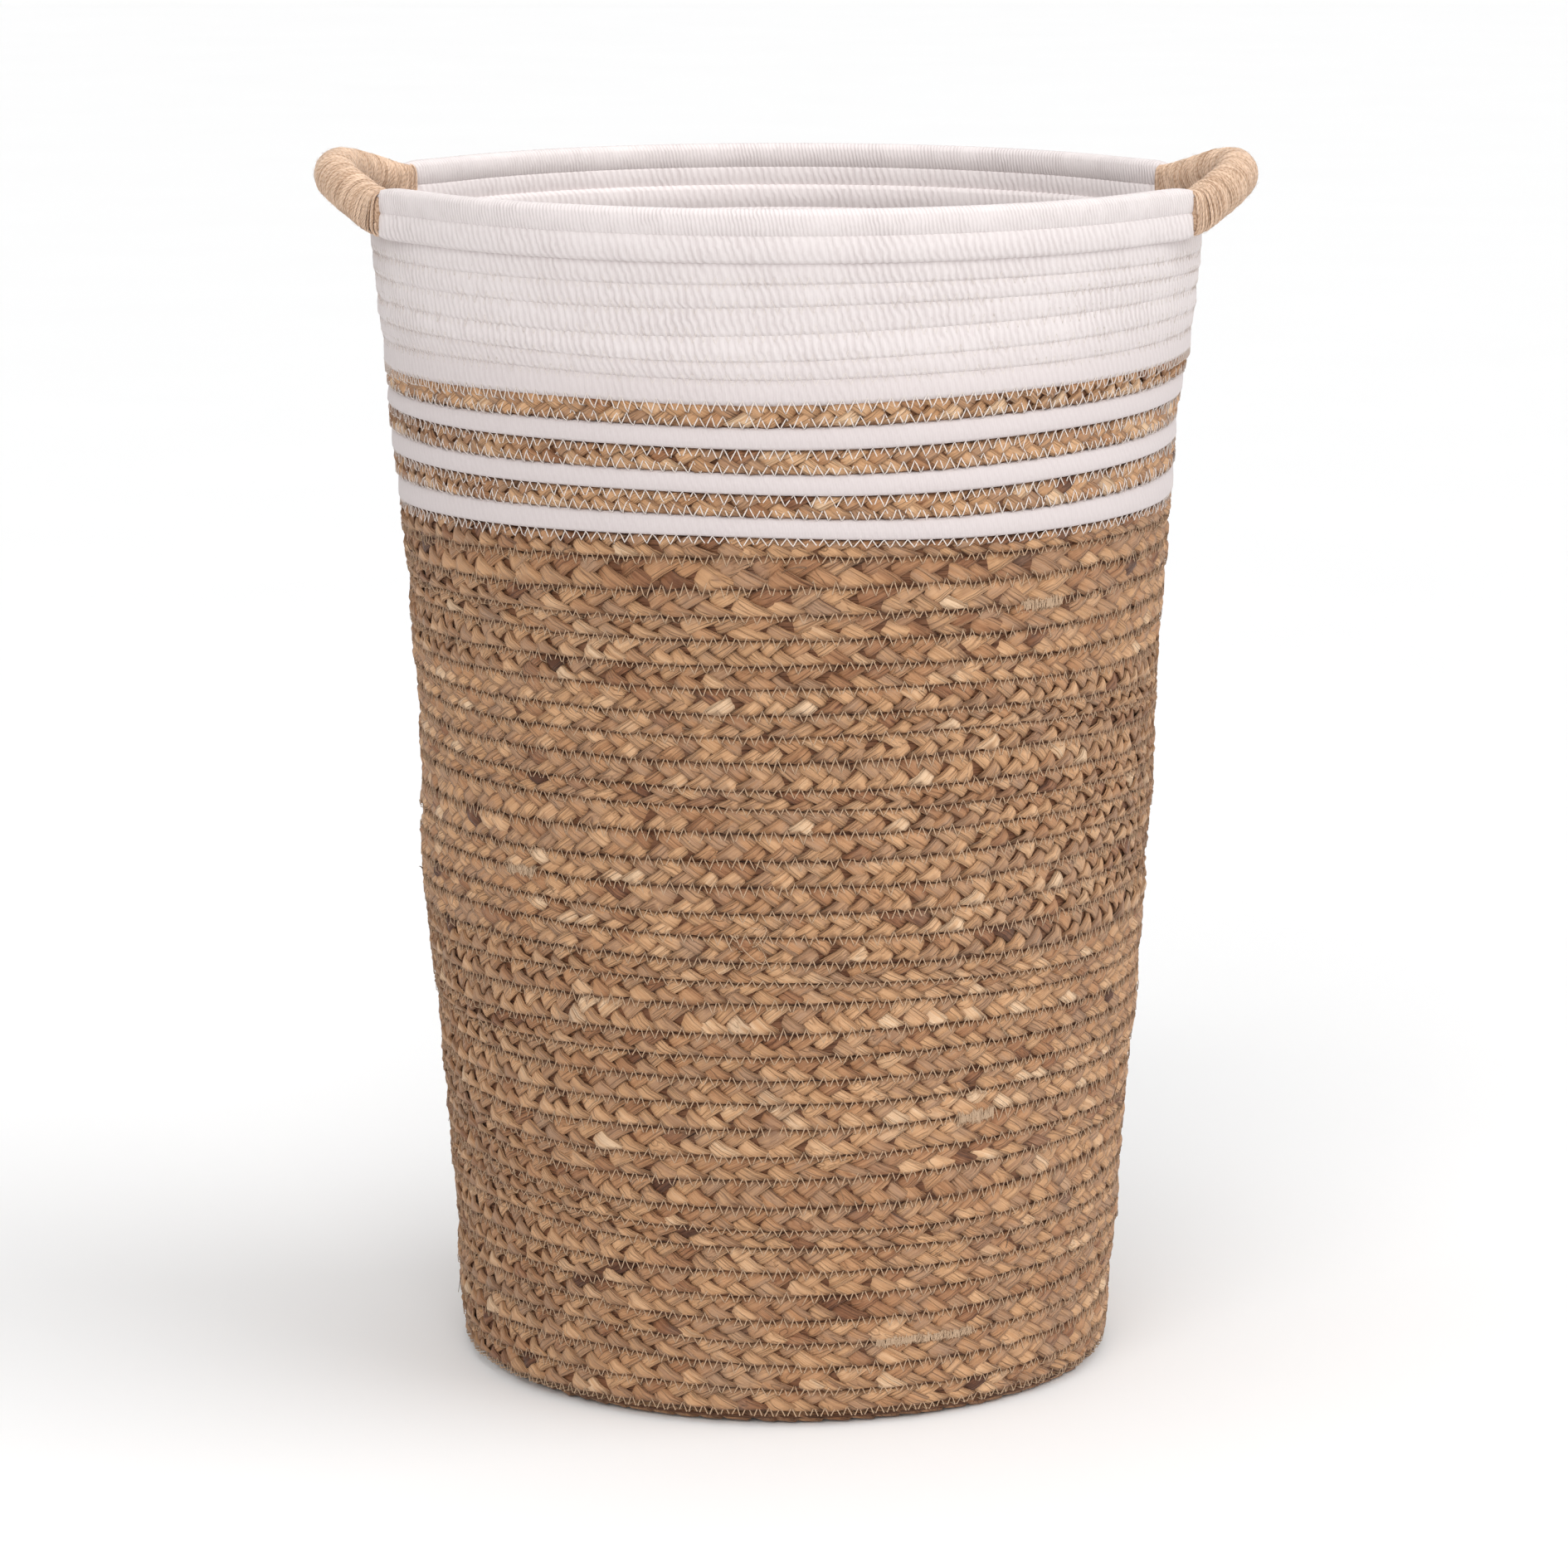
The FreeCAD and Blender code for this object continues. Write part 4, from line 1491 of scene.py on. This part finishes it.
class BASKET_OT_stripes(bpy.types.Operator):
    """Build the stripes: rope and plait courses, turn about"""

    bl_idname = "basket.stripes"
    bl_label = "Stripes"

    def execute(self, context):
        for number in range(1, STRIPES + 1):
            rope_course(f"stripe_rope_{number}", f"rope_stripe_{number}", STRIPE_RIBBED, STRIPE_SQUEEZE)
            batch = (-1 if number == STRIPES else 1), *STRIPE_BATCH
            plait_course(f"stripe_braid_{number}", f"plait_stripe_{number}", 100 + number, *batch)
        return {"FINISHED"}


class BASKET_OT_top(bpy.types.Operator):
    """Build the rope courses of the top, and the rim ropes"""

    bl_idname = "basket.top"
    bl_label = "Rope top"

    def execute(self, context):
        for number in range(1, TOP_ROPES + 1):
            ribbed = min(1.0, 0.1 + 0.3 * number)
            rope_course(f"top_rope_{number}", f"rope_top_{number}", ribbed, ROPE_SQUEEZE)
        for row in RIM_LOOK:
            for end in ("front", "back"):
                rim_rope(row, end)
        return {"FINISHED"}


class BASKET_OT_handles(bpy.types.Operator):
    """Wrap the two handles in twine"""

    bl_idname = "basket.handles"
    bl_label = "Handles"

    def execute(self, context):
        for side in SIDES:
            wrapped_handle(side)
        return {"FINISHED"}


class BASKET_OT_stitching(bpy.types.Operator):
    """Sew the seams with zigzag stitches, and fray some leaves"""

    bl_idname = "basket.stitching"
    bl_label = "Stitching"

    def execute(self, context):
        courses = [o for o in context.scene.objects if o.name.startswith(("plait_", "rope_"))]
        if not courses:
            raise RuntimeError("build the courses before the stitching")
        wall = WallMap(courses)
        stitched_wall(wall)
        back_tacks(wall)
        white_stitching(wall)
        frayed_ends(wall)
        return {"FINISHED"}


def lamp(name, kind, power, turn, place=(0, 0, 0), **shape):
    """A light. turn is its rotation from straight down, in degrees, and shape its size or its spread."""
    light = bpy.data.lights.new(name, kind)
    light.energy = power
    for setting, value in shape.items():
        setattr(light, setting, value)
    stand = bpy.data.objects.new(name, light)
    stand.location = place
    stand.rotation_euler = [math.radians(angle) for angle in turn]
    bpy.context.collection.objects.link(stand)


def studio_sky(strength, side):
    """Light from all round: its strength is strength·(1 + side·x), with x the direction's share of +X."""
    world = bpy.data.worlds.new("studio")
    world.use_nodes = True
    tree = world.node_tree
    background = tree.nodes["Background"]
    background.inputs["Color"].default_value = (1, 1, 1, 1)
    direction = tree.nodes.new("ShaderNodeTexCoord")
    parts = tree.nodes.new("ShaderNodeSeparateXYZ")
    scale = tree.nodes.new("ShaderNodeMath")
    scale.operation = "MULTIPLY_ADD"
    scale.inputs[1].default_value = strength * side
    scale.inputs[2].default_value = strength
    tree.links.new(direction.outputs["Generated"], parts.inputs[0])
    tree.links.new(parts.outputs["X"], scale.inputs[0])
    tree.links.new(scale.outputs[0], background.inputs["Strength"])
    return world


FLOOR_HALF = 60.0


class BASKET_OT_stage(bpy.types.Operator):
    """Set the floor, the lights and the camera"""

    bl_idname = "basket.stage"
    bl_label = "Stage"

    def execute(self, context):
        settings = context.scene.basket_stage
        mesh = bpy.data.meshes.new("floor")
        corners = [(x * FLOOR_HALF, y * FLOOR_HALF, 0) for x, y in ((-1, -1), (1, -1), (1, 1), (-1, 1))]
        mesh.from_pydata(corners, [], [(0, 1, 2, 3)])
        mesh.materials.append(material("studio_floor"))
        floor = bpy.data.objects.new("floor", mesh)
        context.collection.objects.link(floor)

        context.scene.world = studio_sky(settings.sky, settings.sky_side)
        lamp("overhead", "SUN", settings.overhead, (8, 0, 0), angle=math.radians(80))
        lamp("box", "AREA", settings.box, (25, 0, 0), (0, -0.12, 1.15), size=0.5)
        lamp("key", "SUN", settings.key, (60, 0, -10), angle=math.radians(50))
        lamp("side", "SUN", settings.side, (62, 0, 75), angle=math.radians(60))

        camera = bpy.data.cameras.new("camera")
        camera.lens = settings.lens
        camera.sensor_width = 36
        camera.clip_end = 100
        stand = bpy.data.objects.new("camera", camera)
        stand.location = (-0.001, -settings.distance, settings.height)
        stand.rotation_euler = (math.pi / 2 - settings.pitch, 0, 0)
        context.collection.objects.link(stand)
        context.scene.camera = stand
        context.scene.view_settings.view_transform = "Standard"
        return {"FINISHED"}


OPERATORS = (
    BASKET_OT_stage,
    BASKET_OT_base,
    BASKET_OT_wall,
    BASKET_OT_stripes,
    BASKET_OT_top,
    BASKET_OT_handles,
    BASKET_OT_stitching,
)


class BASKET_PT_panel(bpy.types.Panel):
    """Lists the basket's pieces and their settings"""

    bl_idname = "BASKET_PT_panel"
    bl_label = "Laundry basket"
    bl_space_type = "VIEW_3D"
    bl_region_type = "UI"
    bl_category = "Basket"

    def draw(self, context):
        for operator in OPERATORS:
            self.layout.operator(operator.bl_idname)
        for group, kind in SETTINGS.items():
            box = self.layout.box()
            box.label(text=kind.__doc__)
            for name in kind.__annotations__:
                box.prop(getattr(context.scene, group), name)


CLASSES = (*SETTINGS.values(), *OPERATORS, BASKET_PT_panel)


def register():
    for kind in CLASSES:
        bpy.utils.register_class(kind)
    for name, kind in SETTINGS.items():
        setattr(bpy.types.Scene, name, bpy.props.PointerProperty(type=kind))


def unregister():
    for name in SETTINGS:
        delattr(bpy.types.Scene, name)
    for kind in reversed(CLASSES):
        bpy.utils.unregister_class(kind)


def main():
    register()
    bpy.ops.basket.stage()
    bpy.ops.basket.base()
    bpy.ops.basket.wall()
    bpy.ops.basket.stripes()
    bpy.ops.basket.top()
    bpy.ops.basket.handles()
    bpy.ops.basket.stitching()


if __name__ == "__main__":
    main()
